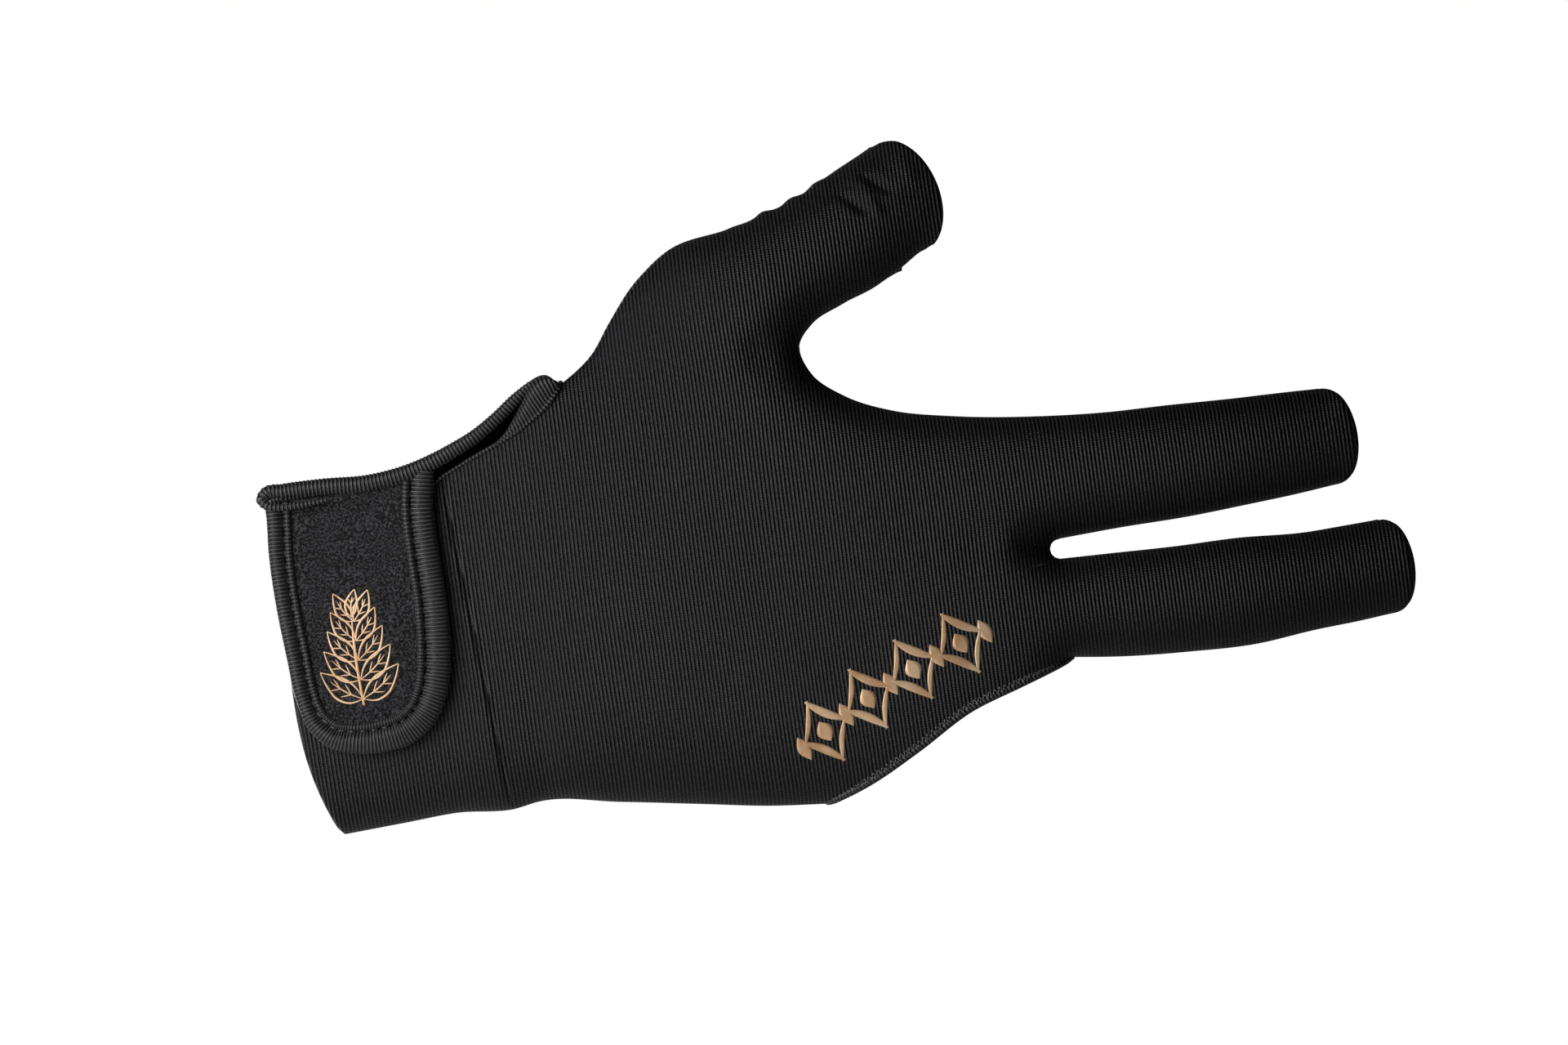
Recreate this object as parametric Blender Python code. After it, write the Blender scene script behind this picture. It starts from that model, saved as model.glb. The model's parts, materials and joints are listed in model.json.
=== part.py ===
"""Billiard glove for the bridge hand: thumb, index and middle finger covered, two fingers free.

The hand lies in the XZ plane with its back towards -Y. +X runs from the wrist to the fingertips
and +Z towards the thumb. The origin is the centre of the wrist mouth. Lengths are in metres.
"""

import math

import bpy
import numpy as np
from mathutils import Vector
from mathutils.bvhtree import BVHTree

# Lengths and widths of the glove as it is seen from the back of the hand
CUFF_LENGTH = 0.0360
CUFF_WIDTH = 0.0680
PALM_LENGTH = 0.1183
PALM_WIDTH = 0.0860
INDEX_LENGTH = 0.0573
INDEX_ROOT_WIDTH = 0.0254
INDEX_TIP_WIDTH = 0.0200
MIDDLE_LENGTH = 0.0662
MIDDLE_ROOT_WIDTH = 0.0203
MIDDLE_TIP_WIDTH = 0.0195
WEB_GAP = 0.0040
THUMB_LENGTH = 0.0434
THUMB_END_WIDTH = 0.0238

# Depths across the hand, from its back to its palm side
HAND_HALF_DEPTH = 0.0141
FREE_FINGER_HALF_DEPTH = 0.0112
INDEX_CURL = 0.0120
MIDDLE_CURL = 0.0125
THUMB_LEAN = 0.0105
SLIT_FORWARD = 0.0100
WRIST_DEPTH_SHARE = 0.80

# Walls, tapes and clearances
PANEL_WALL = 0.0010
CUFF_WALL = 0.0016
SEAM_GAP = 0.0003
SLIT_ROLL_DIAMETER = 0.0028
SLIT_EDGE_DIAMETER = 0.0015
LIP_DIAMETER = 0.0013
HEM_DIAMETER = 0.0014
TAB_LENGTH = 0.0540
TAB_WIDTH = 0.0349
TAB_THICKNESS = 0.0020
TAB_TAPE_WIDTH = 0.0042
TAB_TAPE_THICKNESS = 0.0030
TAB_CLEARANCE = 0.0005

# Slants of the fingers and of the tab
THUMB_SPREAD = math.radians(33.4)
THUMB_END_TURN = math.radians(-12.0)
INDEX_RISE = math.radians(8.4)
MIDDLE_RISE = math.radians(7.3)
TAB_LEAN = math.radians(7.1)

# Numbers of faces
CUFF_COLUMNS = 5
SLIT_COLUMNS = 5
WRIST_TO_THUMB_COLUMNS = 3
THUMB_COLUMNS = 8
KNUCKLE_COLUMNS = 10
FINGER_ROWS = 8
WEB_ROWS = 2
SLIT_ROWS = 3
FINGER_COLUMNS = 7
THUMB_LENGTH_ROWS = 13
TAB_ROWS = 12
TAB_COLUMNS = 10
TAPE_STEPS = 30
TAPE_SIDES = 8
CURVE_STEPS = 16

# Corners of the palm: along as a share of PALM_LENGTH from the cuff seam, across of PALM_WIDTH
LOWER_EDGE = (
    # along, across
    (0.061, -0.343),
    (0.102, -0.326),
    (0.244, -0.327),
    (0.386, -0.332),
    (0.500, -0.336),
    (0.597, -0.331),
)
SLIT_NEAR_EDGE = (
    # along, across
    (-0.061, 0.442),
    (-0.028, 0.471),
    (0.004, 0.497),
    (0.058, 0.541),
    (0.091, 0.576),
    (0.123, 0.619),
    (0.142, 0.665),
)
SLIT_FAR_EDGE = (
    # along, across
    (-0.061, 0.512),
    (-0.028, 0.535),
    (0.025, 0.592),
    (0.069, 0.649),
    (0.101, 0.682),
    (0.142, 0.665),
)
THUMB_SIDE_EDGE = (
    # along, across
    (0.142, 0.665),
    (0.190, 0.728),
    (0.223, 0.810),
    (0.264, 0.901),
)
THUMB_CROTCH = (0.551, 0.753)
WEB_ACROSS = 0.274

# Corners of the cuff: along as a share of CUFF_LENGTH from the mouth, across of CUFF_WIDTH
CUFF_LOWER = ((0.236, -0.510), (0.592, -0.474), (0.869, -0.446))
CUFF_NEAR = ((-0.167, 0.404), (0.278, 0.441), (0.611, 0.486))
CUFF_FAR = ((-0.194, 0.526), (0.111, 0.545), (0.375, 0.565), (0.597, 0.597))
MOUTH_BOW = 0.0500
MOUTH_BOW_SKEW = 2.1

# Waviness of the edges: along as a share of the edge's chord, out as a share of the same chord
THUMB_OUTER_WAVE = ((0.17, 0.045), (0.42, -0.004), (0.66, -0.024), (0.85, -0.008))
THUMB_INNER_WAVE = ((0.18, 0.068), (0.41, 0.040), (0.63, 0.000), (0.85, -0.009))
FREE_FINGER_EDGE_WAVE = ((0.17, -0.008), (0.37, 0.007), (0.60, 0.033), (0.80, 0.019))
# Swell of a finger: along as a share of its length, width as a share of its own width there
INDEX_SWELL = ((0.22, 0.985), (0.45, 1.012), (0.70, 1.012), (0.86, 1.014))
MIDDLE_SWELL = ((0.15, 1.055), (0.36, 1.090), (0.56, 1.114), (0.76, 1.022), (0.90, 1.013))
MIDDLE_SAG = 0.020
INDEX_SAG = 0.008
CROTCH_TURN_SHARE = 0.63
TIP_BULGE_SHARE = 0.16
THUMB_BULGE_SHARE = 0.20
CURL_START_SHARE = 0.25

# Creases over the thumb's joint: along from its root as a share of THUMB_LENGTH, side from its outer
# edge and reach as shares of its width, deep and wide as shares of THUMB_END_WIDTH
THUMB_CREASES = (
    # along, side, deep, wide, reach
    (0.57, 0.10, 0.030, 0.095, 0.30),
    (0.71, 0.22, 0.042, 0.100, 0.26),
    (0.84, 0.30, 0.050, 0.105, 0.30),
)

# The slit tape's turn at its wrist end: places as shares of the turn's own size, from the end of the
# far roll and from the start of the lip, then its diameters as shares of the roll and of the turn
SLIT_TURN_FROM_ROLL = (-0.45, -0.55, -0.15)
SLIT_TURN_FROM_LIP = (-0.62, 0.05, 0.55)
SLIT_TURN_SIZES = (0.8, 0.9)
LIP_START_SHARE = 0.03
LIP_END_TAPER = 0.55

# Shares of the palm's lower side edge that lie opposite the slit's end and the thumb's root
LOWER_EDGE_SPLITS = (0.0, 0.225, 0.385, 1.0)
MERGE_SIZE = 1.0e-6
OPENING_ROUNDNESS = 2.6
TAB_ROUNDNESS = 2.9
TAB_STRAIGHT_SHARE = 0.5
TAB_PLATE_END_SHARE = 0.985
SLIT_TURN_SHARE = 0.10
SLIT_TAPER_SHARE = 0.12
SLIT_TURN_TAPER = 0.35
LIP_SHARE = 0.34
TAB_SET_BACK = -0.222
ROOT_CROWDING = 1.4
SLIT_FADE_BEFORE = 0.3
SLIT_FADE_LENGTH = 1.9


def clear_scene():
    for old in list(bpy.data.objects):
        bpy.data.objects.remove(old, do_unlink=True)


def material(name, colour, roughness, metallic=0.0):
    made = bpy.data.materials.new(name)
    made.use_nodes = True
    shader = made.node_tree.nodes["Principled BSDF"]
    shader.inputs["Base Color"].default_value = (*colour, 1.0)
    shader.inputs["Roughness"].default_value = roughness
    shader.inputs["Metallic"].default_value = metallic
    return made


def smooth_step(share):
    share = np.clip(share, 0.0, 1.0)
    return share * share * (3.0 - 2.0 * share)


def edge_spaced(count):
    """Shares from 0 to 1, closer together at both ends."""
    return (1.0 - np.cos(np.pi * np.arange(count + 1) / count)) / 2.0


def direction(angle):
    return np.array((math.cos(angle), math.sin(angle)))


def across(angle):
    return np.array((-math.sin(angle), math.cos(angle)))


class Curve:
    """A smooth flat curve through its points, which can be sampled piece by piece."""

    def __init__(self, points):
        self.points = np.array(points, dtype=float)
        steps = np.linalg.norm(np.diff(self.points, axis=0), axis=1)
        slopes = np.diff(self.points, axis=0) / steps[:, None]
        tangents = np.empty_like(self.points)
        weights = (steps[1:] / (steps[1:] + steps[:-1]))[:, None]
        tangents[1:-1] = slopes[:-1] * weights + slopes[1:] * (1.0 - weights)
        tangents[0] = 1.5 * slopes[0] - 0.5 * tangents[1]
        tangents[-1] = 1.5 * slopes[-1] - 0.5 * tangents[-2]
        leave, arrive = tangents[:-1] * steps[:, None], tangents[1:] * steps[:, None]
        self.pieces = [
            self.hermite(*ends) for ends in zip(self.points[:-1], self.points[1:], leave, arrive, strict=True)
        ]

    @staticmethod
    def hermite(start, end, leave, arrive):
        share = np.linspace(0.0, 1.0, CURVE_STEPS + 1)[:, None]
        square, cube = share**2, share**3
        return (
            (2.0 * cube - 3.0 * square + 1.0) * start
            + (cube - 2.0 * square + share) * leave
            + (3.0 * square - 2.0 * cube) * end
            + (cube - square) * arrive
        )

    def sample(self, shares, first=0, last=None):
        """Points at shares of the length between the knots first and last."""
        chosen = self.pieces[first:last]
        dense = np.concatenate([chosen[0], *[piece[1:] for piece in chosen[1:]]])
        lengths = np.linalg.norm(np.diff(dense, axis=0), axis=1)
        travelled = np.concatenate([[0.0], np.cumsum(lengths)])
        wanted = np.asarray(shares) * travelled[-1]
        return np.stack([np.interp(wanted, travelled, values) for values in dense.T], axis=-1)


def palm_point(row):
    return np.array((CUFF_LENGTH + row[0] * PALM_LENGTH, row[1] * PALM_WIDTH))


def cuff_point(row):
    return np.array((row[0] * CUFF_LENGTH, row[1] * CUFF_WIDTH))


def waved(start, end, wave):
    """Points of an edge that leaves its chord by the shares in wave."""
    chord = end - start
    out = np.array((-chord[1], chord[0]))
    return [start + chord * along + out * off for along, off in wave]


def finger_edges(root, angle, length, root_width, tip_width, swell, sag):
    """Lower and upper edge points of a finger after its root, from the middle of its root."""
    rows = [*swell, (1.0, 1.0)]
    lower, upper = [], []
    for along, share in rows:
        bend = -4.0 * sag * length * along * (1.0 - along)
        middle = root + direction(angle) * length * along + across(angle) * bend
        half = 0.5 * share * (root_width + (tip_width - root_width) * along)
        lower.append(middle - across(angle) * half)
        upper.append(middle + across(angle) * half)
    return lower, upper


class Outline:
    """The flat outline of the glove: every edge is a smooth curve with its corners as knots."""

    def __init__(self):
        web = np.array((CUFF_LENGTH + PALM_LENGTH, WEB_ACROSS * PALM_WIDTH))
        self.web = web
        self.index_lower_root = web + (0.0, WEB_GAP / 2.0)
        self.middle_upper_root = web - (0.0, WEB_GAP / 2.0)
        index_root = self.index_lower_root + across(INDEX_RISE) * INDEX_ROOT_WIDTH / 2.0
        middle_root = self.middle_upper_root - across(MIDDLE_RISE) * MIDDLE_ROOT_WIDTH / 2.0
        self.index_upper_root = self.index_lower_root + across(INDEX_RISE) * INDEX_ROOT_WIDTH
        self.middle_lower_root = self.middle_upper_root - across(MIDDLE_RISE) * MIDDLE_ROOT_WIDTH
        index_lower, index_upper = finger_edges(
            index_root, INDEX_RISE, INDEX_LENGTH, INDEX_ROOT_WIDTH, INDEX_TIP_WIDTH, INDEX_SWELL, INDEX_SAG
        )
        middle_widths = (MIDDLE_ROOT_WIDTH, MIDDLE_TIP_WIDTH)
        middle_lower, middle_upper = finger_edges(
            middle_root, MIDDLE_RISE, MIDDLE_LENGTH, *middle_widths, MIDDLE_SWELL, MIDDLE_SAG
        )
        self.index_lower = Curve([self.index_lower_root, *index_lower])
        self.middle_upper = Curve([self.middle_upper_root, *middle_upper])
        self.middle_lower = Curve([self.middle_lower_root, *middle_lower])

        cuff_lower = [cuff_point(row) for row in CUFF_LOWER]
        palm_lower = [palm_point(row) for row in LOWER_EDGE]
        self.lower = Curve([*cuff_lower, *palm_lower])
        self.lower_seam_knot = len(cuff_lower)
        opening_start = palm_lower[-1]
        self.opening = Curve(
            [
                opening_start,
                *waved(opening_start, self.middle_lower_root, FREE_FINGER_EDGE_WAVE),
                self.middle_lower_root,
            ]
        )
        cuff_near = [cuff_point(row) for row in CUFF_NEAR]
        cuff_far = [cuff_point(row) for row in CUFF_FAR]
        self.near = Curve([*cuff_near, *[palm_point(row) for row in SLIT_NEAR_EDGE]])
        self.far = Curve([*cuff_far, *[palm_point(row) for row in SLIT_FAR_EDGE]])
        self.near_seam_knot = len(CUFF_NEAR)
        self.far_seam_knot = len(CUFF_FAR)

        thumb_side = [palm_point(row) for row in THUMB_SIDE_EDGE]
        self.thumb_root_outer = thumb_side[-1]
        self.crotch = palm_point(THUMB_CROTCH)
        root_middle = (self.thumb_root_outer + self.crotch) / 2.0
        end_middle = root_middle + direction(THUMB_SPREAD) * THUMB_LENGTH
        end_angle = THUMB_SPREAD + THUMB_END_TURN
        end_outer = end_middle + across(end_angle) * THUMB_END_WIDTH / 2.0
        end_inner = end_middle - across(end_angle) * THUMB_END_WIDTH / 2.0
        self.thumb_end_direction = direction(end_angle)
        outer_wave = waved(self.thumb_root_outer, end_outer, THUMB_OUTER_WAVE)
        self.thumb_outer = Curve([*thumb_side, *outer_wave, end_outer])
        self.thumb_outer_knot = len(thumb_side) - 1

        turn = self.index_upper_root - self.crotch
        turns = [math.radians(angle) for angle in (22.5, 45.0, 67.5, 90.0)]
        turn_reach = CROTCH_TURN_SHARE * turn[0]
        crotch_turn = [
            self.crotch + (turn_reach * (1.0 - math.cos(a)), turn[1] * math.sin(a)) for a in turns
        ]
        inner_wave = waved(self.crotch, end_inner, THUMB_INNER_WAVE)
        self.crotch_edge = Curve(
            [end_inner, *reversed(inner_wave), self.crotch, *crotch_turn, self.index_upper_root, *index_upper]
        )
        self.crotch_knot = len(inner_wave) + 1
        self.index_root_knot = self.crotch_knot + len(crotch_turn) + 1

    def seam_forward(self, x):
        """How far the thumb-side edge lies towards the back: fully at the slit, no more at the thumb."""
        slit_end = self.near.points[-1][0]
        span = self.thumb_root_outer[0] - slit_end
        start = slit_end - SLIT_FADE_BEFORE * span
        return SLIT_FORWARD * (1.0 - smooth_step((x - start) / (SLIT_FADE_LENGTH * span)))


def ruled(lower, upper, shares):
    """A grid of straight lines between two edges, one column for each pair of edge points."""
    return lower[:, None, :] + shares[None, :, None] * (upper - lower)[:, None, :]


class Blocks:
    """The outline filled with grids of points, which share their common edges."""

    def __init__(self, outline):
        rows = 2 * FINGER_ROWS + WEB_ROWS
        palm_rows = edge_spaced(rows)
        slit_shares = np.linspace(0.0, 1.0, SLIT_COLUMNS + 1)
        cuff_shares = np.linspace(0.0, 1.0, CUFF_COLUMNS + 1)
        slit_rows = np.sin(0.5 * np.pi * np.arange(SLIT_ROWS + 1) / SLIT_ROWS)

        cuff_lower = outline.lower.sample(cuff_shares, 0, outline.lower_seam_knot)
        cuff_near = outline.near.sample(cuff_shares, 0, outline.near_seam_knot)
        cuff_far = outline.far.sample(cuff_shares, 0, outline.far_seam_knot)
        self.cuff = ruled(cuff_lower, cuff_near, palm_rows)
        self.cuff_slit = ruled(cuff_near, cuff_far, slit_rows)
        self.bow_mouth(self.cuff, cuff_lower[0], cuff_far[0], cuff_shares)
        self.bow_mouth(self.cuff_slit, cuff_lower[0], cuff_far[0], cuff_shares)

        near = outline.near.sample(slit_shares, outline.near_seam_knot)
        far = outline.far.sample(slit_shares, outline.far_seam_knot)
        self.palm_slit = ruled(near, far, slit_rows)

        before_thumb = np.linspace(0.0, 1.0, WRIST_TO_THUMB_COLUMNS + 1)
        over_thumb = edge_spaced(THUMB_COLUMNS)
        knuckles = edge_spaced(KNUCKLE_COLUMNS)
        straight = outline.lower.sample(np.linspace(0.0, 1.0, 4 * CURVE_STEPS), outline.lower_seam_knot)
        stops = [np.zeros(1)]
        spans = zip(LOWER_EDGE_SPLITS[:-1], LOWER_EDGE_SPLITS[1:], strict=True)
        for (start, end), shares in zip(spans, (slit_shares, before_thumb, over_thumb), strict=True):
            stops.append((start + (end - start) * shares)[1:])
        palm_lower = Curve(straight).sample(np.concatenate(stops))
        lower = np.concatenate([palm_lower, outline.opening.sample(knuckles)[1:]])
        root_line = ruled(outline.thumb_root_outer[None], outline.crotch[None], over_thumb)[0]
        upper = np.concatenate(
            [
                near,
                outline.thumb_outer.sample(before_thumb, 0, outline.thumb_outer_knot)[1:],
                root_line[1:],
                outline.crotch_edge.sample(knuckles, outline.crotch_knot, outline.index_root_knot)[1:],
            ]
        )
        self.thumb_start = SLIT_COLUMNS + WRIST_TO_THUMB_COLUMNS
        self.opening_start = self.thumb_start + THUMB_COLUMNS
        towards_web = np.zeros(len(lower))
        towards_web[self.opening_start :] = smooth_step(knuckles)
        self.palm = self.palm_grid(outline, lower, upper, palm_rows, towards_web)
        self.index = self.finger_grid(
            outline.index_lower,
            (outline.crotch_edge, outline.index_root_knot),
            self.palm[-1, FINGER_ROWS + WEB_ROWS :],
            INDEX_RISE,
            INDEX_TIP_WIDTH,
        )
        self.middle = self.finger_grid(
            outline.middle_lower,
            (outline.middle_upper, 0),
            self.palm[-1, : FINGER_ROWS + 1],
            MIDDLE_RISE,
            MIDDLE_TIP_WIDTH,
        )
        self.thumb = self.thumb_grid(outline, over_thumb)

    @staticmethod
    def bow_mouth(grid, low, high, shares):
        """Bends the mouth's edge towards the wrist, most at its middle."""
        down = 1.0 - (grid[0, :, 1] - low[1]) / (high[1] - low[1])
        bow = MOUTH_BOW * CUFF_WIDTH * np.sin(np.pi * np.clip(down, 0.0, 1.0) ** MOUTH_BOW_SKEW)
        grid[:, :, 0] -= ((1.0 - shares) ** 2)[:, None] * bow[None, :]

    @staticmethod
    def palm_grid(outline, lower, upper, palm_rows, towards_web):
        spaced = edge_spaced(FINGER_ROWS)
        turn = np.linspace(-np.pi / 2.0, np.pi / 2.0, WEB_ROWS + 1)[1:-1]
        round_web = outline.web + 0.5 * WEB_GAP * np.stack([-np.cos(turn), np.sin(turn)], axis=-1)
        web_line = np.concatenate(
            [
                ruled(outline.middle_lower_root[None], outline.middle_upper_root[None], spaced)[0],
                round_web,
                ruled(outline.index_lower_root[None], outline.index_upper_root[None], spaced)[0],
            ]
        )
        chord = web_line[-1] - web_line[0]
        web_shares = (web_line - web_line[0]) @ chord / (chord @ chord)
        leave = web_line - web_line[0] - web_shares[:, None] * chord
        shares = palm_rows[None, :] + towards_web[:, None] * (web_shares - palm_rows)[None, :]
        grid = lower[:, None, :] + shares[:, :, None] * (upper - lower)[:, None, :]
        return grid + (towards_web**4)[:, None, None] * leave[None, :, :]

    @staticmethod
    def finger_grid(lower_curve, upper_piece, root, angle, tip_width):
        shares = np.linspace(0.0, 1.0, FINGER_COLUMNS + 1) ** ROOT_CROWDING
        upper_curve, knot = upper_piece
        rows = edge_spaced(FINGER_ROWS)
        grid = ruled(lower_curve.sample(shares), upper_curve.sample(shares, knot), rows)
        grid[0] = root
        bulge = TIP_BULGE_SHARE * tip_width * np.sqrt(1.0 - (2.0 * rows - 1.0) ** 2)
        return grid + (shares**3)[:, None, None] * bulge[None, :, None] * direction(angle)

    @staticmethod
    def thumb_grid(outline, rows):
        shares = np.linspace(0.0, 1.0, THUMB_LENGTH_ROWS + 1)
        outer = outline.thumb_outer.sample(shares, outline.thumb_outer_knot)
        inner = outline.crotch_edge.sample(1.0 - shares, 0, outline.crotch_knot)
        grid = ruled(outer, inner, rows)
        bulge = THUMB_BULGE_SHARE * THUMB_END_WIDTH * np.sqrt(1.0 - (2.0 * rows - 1.0) ** 2)
        return grid + (shares**3)[:, None, None] * bulge[None, :, None] * outline.thumb_end_direction


def quads_of(ids):
    """Faces of a grid of vertex numbers, as quads."""
    return np.stack([ids[:-1, :-1], ids[1:, :-1], ids[1:, 1:], ids[:-1, 1:]], axis=-1).reshape(-1, 4)


def triangles_of(quads):
    both = np.concatenate([quads[:, (0, 1, 2)], quads[:, (0, 2, 3)]])
    whole = (both[:, 0] != both[:, 1]) & (both[:, 1] != both[:, 2]) & (both[:, 0] != both[:, 2])
    return both[whole]


def boundary_edges(triangles):
    """Edges used by one triangle only, each in the direction in which that triangle uses it."""
    edges = np.concatenate([triangles[:, (0, 1)], triangles[:, (1, 2)], triangles[:, (2, 0)]])
    _, index, count = np.unique(np.sort(edges, axis=1), axis=0, return_inverse=True, return_counts=True)
    return edges[count[index.reshape(-1)] == 1]


def vertex_normals(points, triangles):
    corners = points[triangles]
    flat = np.cross(corners[:, 1] - corners[:, 0], corners[:, 2] - corners[:, 0])
    total = np.zeros_like(points)
    for corner in range(3):
        np.add.at(total, triangles[:, corner], flat)
    length = np.linalg.norm(total, axis=1, keepdims=True)
    return total / np.where(length > 0.0, length, 1.0)


class Hand:
    """The filled-out glove: the middle surface of the hand and its half depth over each point."""

    def __init__(self, outline, blocks):
        self.outline = outline
        grids = {
            "cuff": blocks.cuff,
            "cuff_slit": blocks.cuff_slit,
            "palm": blocks.palm,
            "palm_slit": blocks.palm_slit,
            "index": blocks.index,
            "middle": blocks.middle,
            "thumb": blocks.thumb,
        }
        every = np.concatenate([grid.reshape(-1, 2) for grid in grids.values()])
        _, first, index = np.unique(
            np.round(every / MERGE_SIZE).astype(np.int64), axis=0, return_index=True, return_inverse=True
        )
        index = index.reshape(-1)
        self.flat = every[first]
        self.ids = {}
        start = 0
        for name, grid in grids.items():
            count = grid.shape[0] * grid.shape[1]
            self.ids[name] = index[start : start + count].reshape(grid.shape[:2])
            start += count
        self.turn_thumb()
        self.triangles = triangles_of(np.concatenate([quads_of(ids) for ids in self.ids.values()]))
        self.count = len(self.flat)
        self.share_fields()
        self.mark_edges(blocks)
        self.middle_surface()
        self.half_depth()

    def turn_thumb(self):
        """The thumb's grid runs the other way round, so its columns and rows change places."""
        self.ids["thumb"] = self.ids["thumb"].T

    def share_fields(self):
        self.upward = np.zeros(self.count)
        for name in ("cuff", "palm"):
            rows = self.ids[name].shape[1]
            self.upward[self.ids[name]] = np.linspace(0.0, 1.0, rows)[None, :]
        for name in ("cuff_slit", "palm_slit", "thumb"):
            self.upward[self.ids[name]] = 1.0
        self.thumb_along = np.zeros(self.count)
        self.thumb_side = np.zeros(self.count)
        columns, rows = self.ids["thumb"].shape
        self.thumb_along[self.ids["thumb"]] = np.linspace(0.0, 1.0, rows)[None, :]
        self.thumb_side[self.ids["thumb"]] = edge_spaced(columns - 1)[:, None]

    def mark_edges(self, blocks):
        """Closed side seams have no depth, and the free finger opening keeps its own."""
        ids = self.ids
        seam = [
            ids["cuff"][:, 0],
            ids["palm"][: blocks.opening_start + 1, 0],
            ids["middle"][:, 0],
            ids["middle"][:, -1],
            ids["palm"][-1, FINGER_ROWS : FINGER_ROWS + WEB_ROWS + 1],
            ids["index"][:, 0],
            ids["index"][:, -1],
            ids["palm"][blocks.opening_start :, -1],
            ids["thumb"][0],
            ids["thumb"][-1],
            ids["palm"][SLIT_COLUMNS : blocks.thumb_start + 1, -1],
            ids["cuff_slit"][:, -1],
            ids["palm_slit"][:, -1],
        ]
        self.seam = np.zeros(self.count, dtype=bool)
        self.seam[np.concatenate(seam)] = True
        self.opening = ids["palm"][blocks.opening_start :, 0]

    def middle_surface(self):
        """Fingers curl and the thumb leans away from the back of the hand."""
        middle = np.zeros(self.count)
        rows = np.arange(self.ids["palm"].shape[1])
        web_rows = (FINGER_ROWS, FINGER_ROWS + WEB_ROWS)
        curls = np.interp(rows, web_rows, (MIDDLE_CURL, INDEX_CURL))
        lengths = np.interp(rows, web_rows, (MIDDLE_LENGTH, INDEX_LENGTH))
        parts = (
            ("index", INDEX_LENGTH, INDEX_CURL),
            ("middle", MIDDLE_LENGTH, MIDDLE_CURL),
            ("palm", lengths[None, :], curls[None, :]),
        )
        for name, length, curl in parts:
            ids = self.ids[name]
            start = self.outline.web[0] - CURL_START_SHARE * length
            share = (self.flat[ids, 0] - start) / (length * (1.0 + CURL_START_SHARE))
            middle[ids] = curl * np.clip(share, 0.0, None) ** 2
        middle[self.ids["thumb"]] += THUMB_LEAN * self.thumb_along[self.ids["thumb"]] ** 2
        self.middle = np.stack([self.flat[:, 0], middle, self.flat[:, 1]], axis=-1)
        back = vertex_normals(self.middle, self.triangles)
        self.back = back * -np.sign(back[:, 1:2])

    def half_depth(self):
        """The half depth h is the root of f, where the Laplacian of f is f / r^2 - 2.

        f is nothing along the seams, so that the side of the hand is round with the radius r, and
        far from them h settles at r times the root of two.
        """
        radius = HAND_HALF_DEPTH / math.sqrt(2.0)
        a, b, c = (self.flat[self.triangles[:, i]] for i in range(3))
        edges = np.stack([c - b, a - c, b - a], axis=1)
        area = 0.5 * np.abs((b - a)[:, 0] * (c - a)[:, 1] - (b - a)[:, 1] * (c - a)[:, 0])
        stiff = np.einsum("tik,tjk->tij", edges, edges) / (4.0 * area)[:, None, None]
        matrix = np.zeros((self.count, self.count))
        load = np.zeros(self.count)
        for i in range(3):
            np.add.at(load, self.triangles[:, i], 2.0 * area / 3.0)
            np.add.at(matrix, (self.triangles[:, i], self.triangles[:, i]), area / (3.0 * radius**2))
            for j in range(3):
                np.add.at(matrix, (self.triangles[:, i], self.triangles[:, j]), stiff[:, i, j])
        along = np.linspace(-1.0, 1.0, len(self.opening))
        kept = np.zeros(self.count)
        shape = (1.0 - np.abs(along) ** OPENING_ROUNDNESS) ** (1.0 / OPENING_ROUNDNESS)
        kept[self.opening] = (FREE_FINGER_HALF_DEPTH * shape) ** 2
        fixed = self.seam.copy()
        fixed[self.opening] = True
        free = ~fixed
        field = kept.copy()
        field[free] = np.linalg.solve(
            matrix[np.ix_(free, free)], load[free] - matrix[np.ix_(free, fixed)] @ kept[fixed]
        )
        narrow = smooth_step(self.flat[:, 0] / (CUFF_LENGTH + CURL_START_SHARE * PALM_LENGTH))
        share = WRIST_DEPTH_SHARE + (1.0 - WRIST_DEPTH_SHARE) * narrow
        depth = np.sqrt(np.clip(field, 0.0, None)) * share
        full = HAND_HALF_DEPTH * share
        self.depth = depth
        shift = self.outline.seam_forward(self.flat[:, 0]) * smooth_step(self.upward)
        self.forward = shift * (1.0 - np.clip(depth / full, 0.0, 1.0))

    def creases(self):
        """Depth taken off the back of the thumb where the cloth folds over its joint."""
        total = np.zeros(self.count)
        for along, side, deep, wide, reach in THUMB_CREASES:
            away = (self.thumb_along - along) * THUMB_LENGTH / (wide * THUMB_END_WIDTH)
            aside = (self.thumb_side - side) / reach
            total += deep * THUMB_END_WIDTH * np.exp(-(away**2) - aside**2)
        return total * (self.thumb_along > 0.0)

    def surface(self, towards_back):
        """Outer points of the back or of the palm side of the hand."""
        depth = self.depth
        if towards_back:
            depth = depth - self.creases() * np.clip(depth / HAND_HALF_DEPTH, 0.0, 1.0)
        sign = 1.0 if towards_back else -1.0
        points = self.middle + sign * depth[:, None] * self.back
        points[:, 1] -= self.forward
        return points

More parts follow.
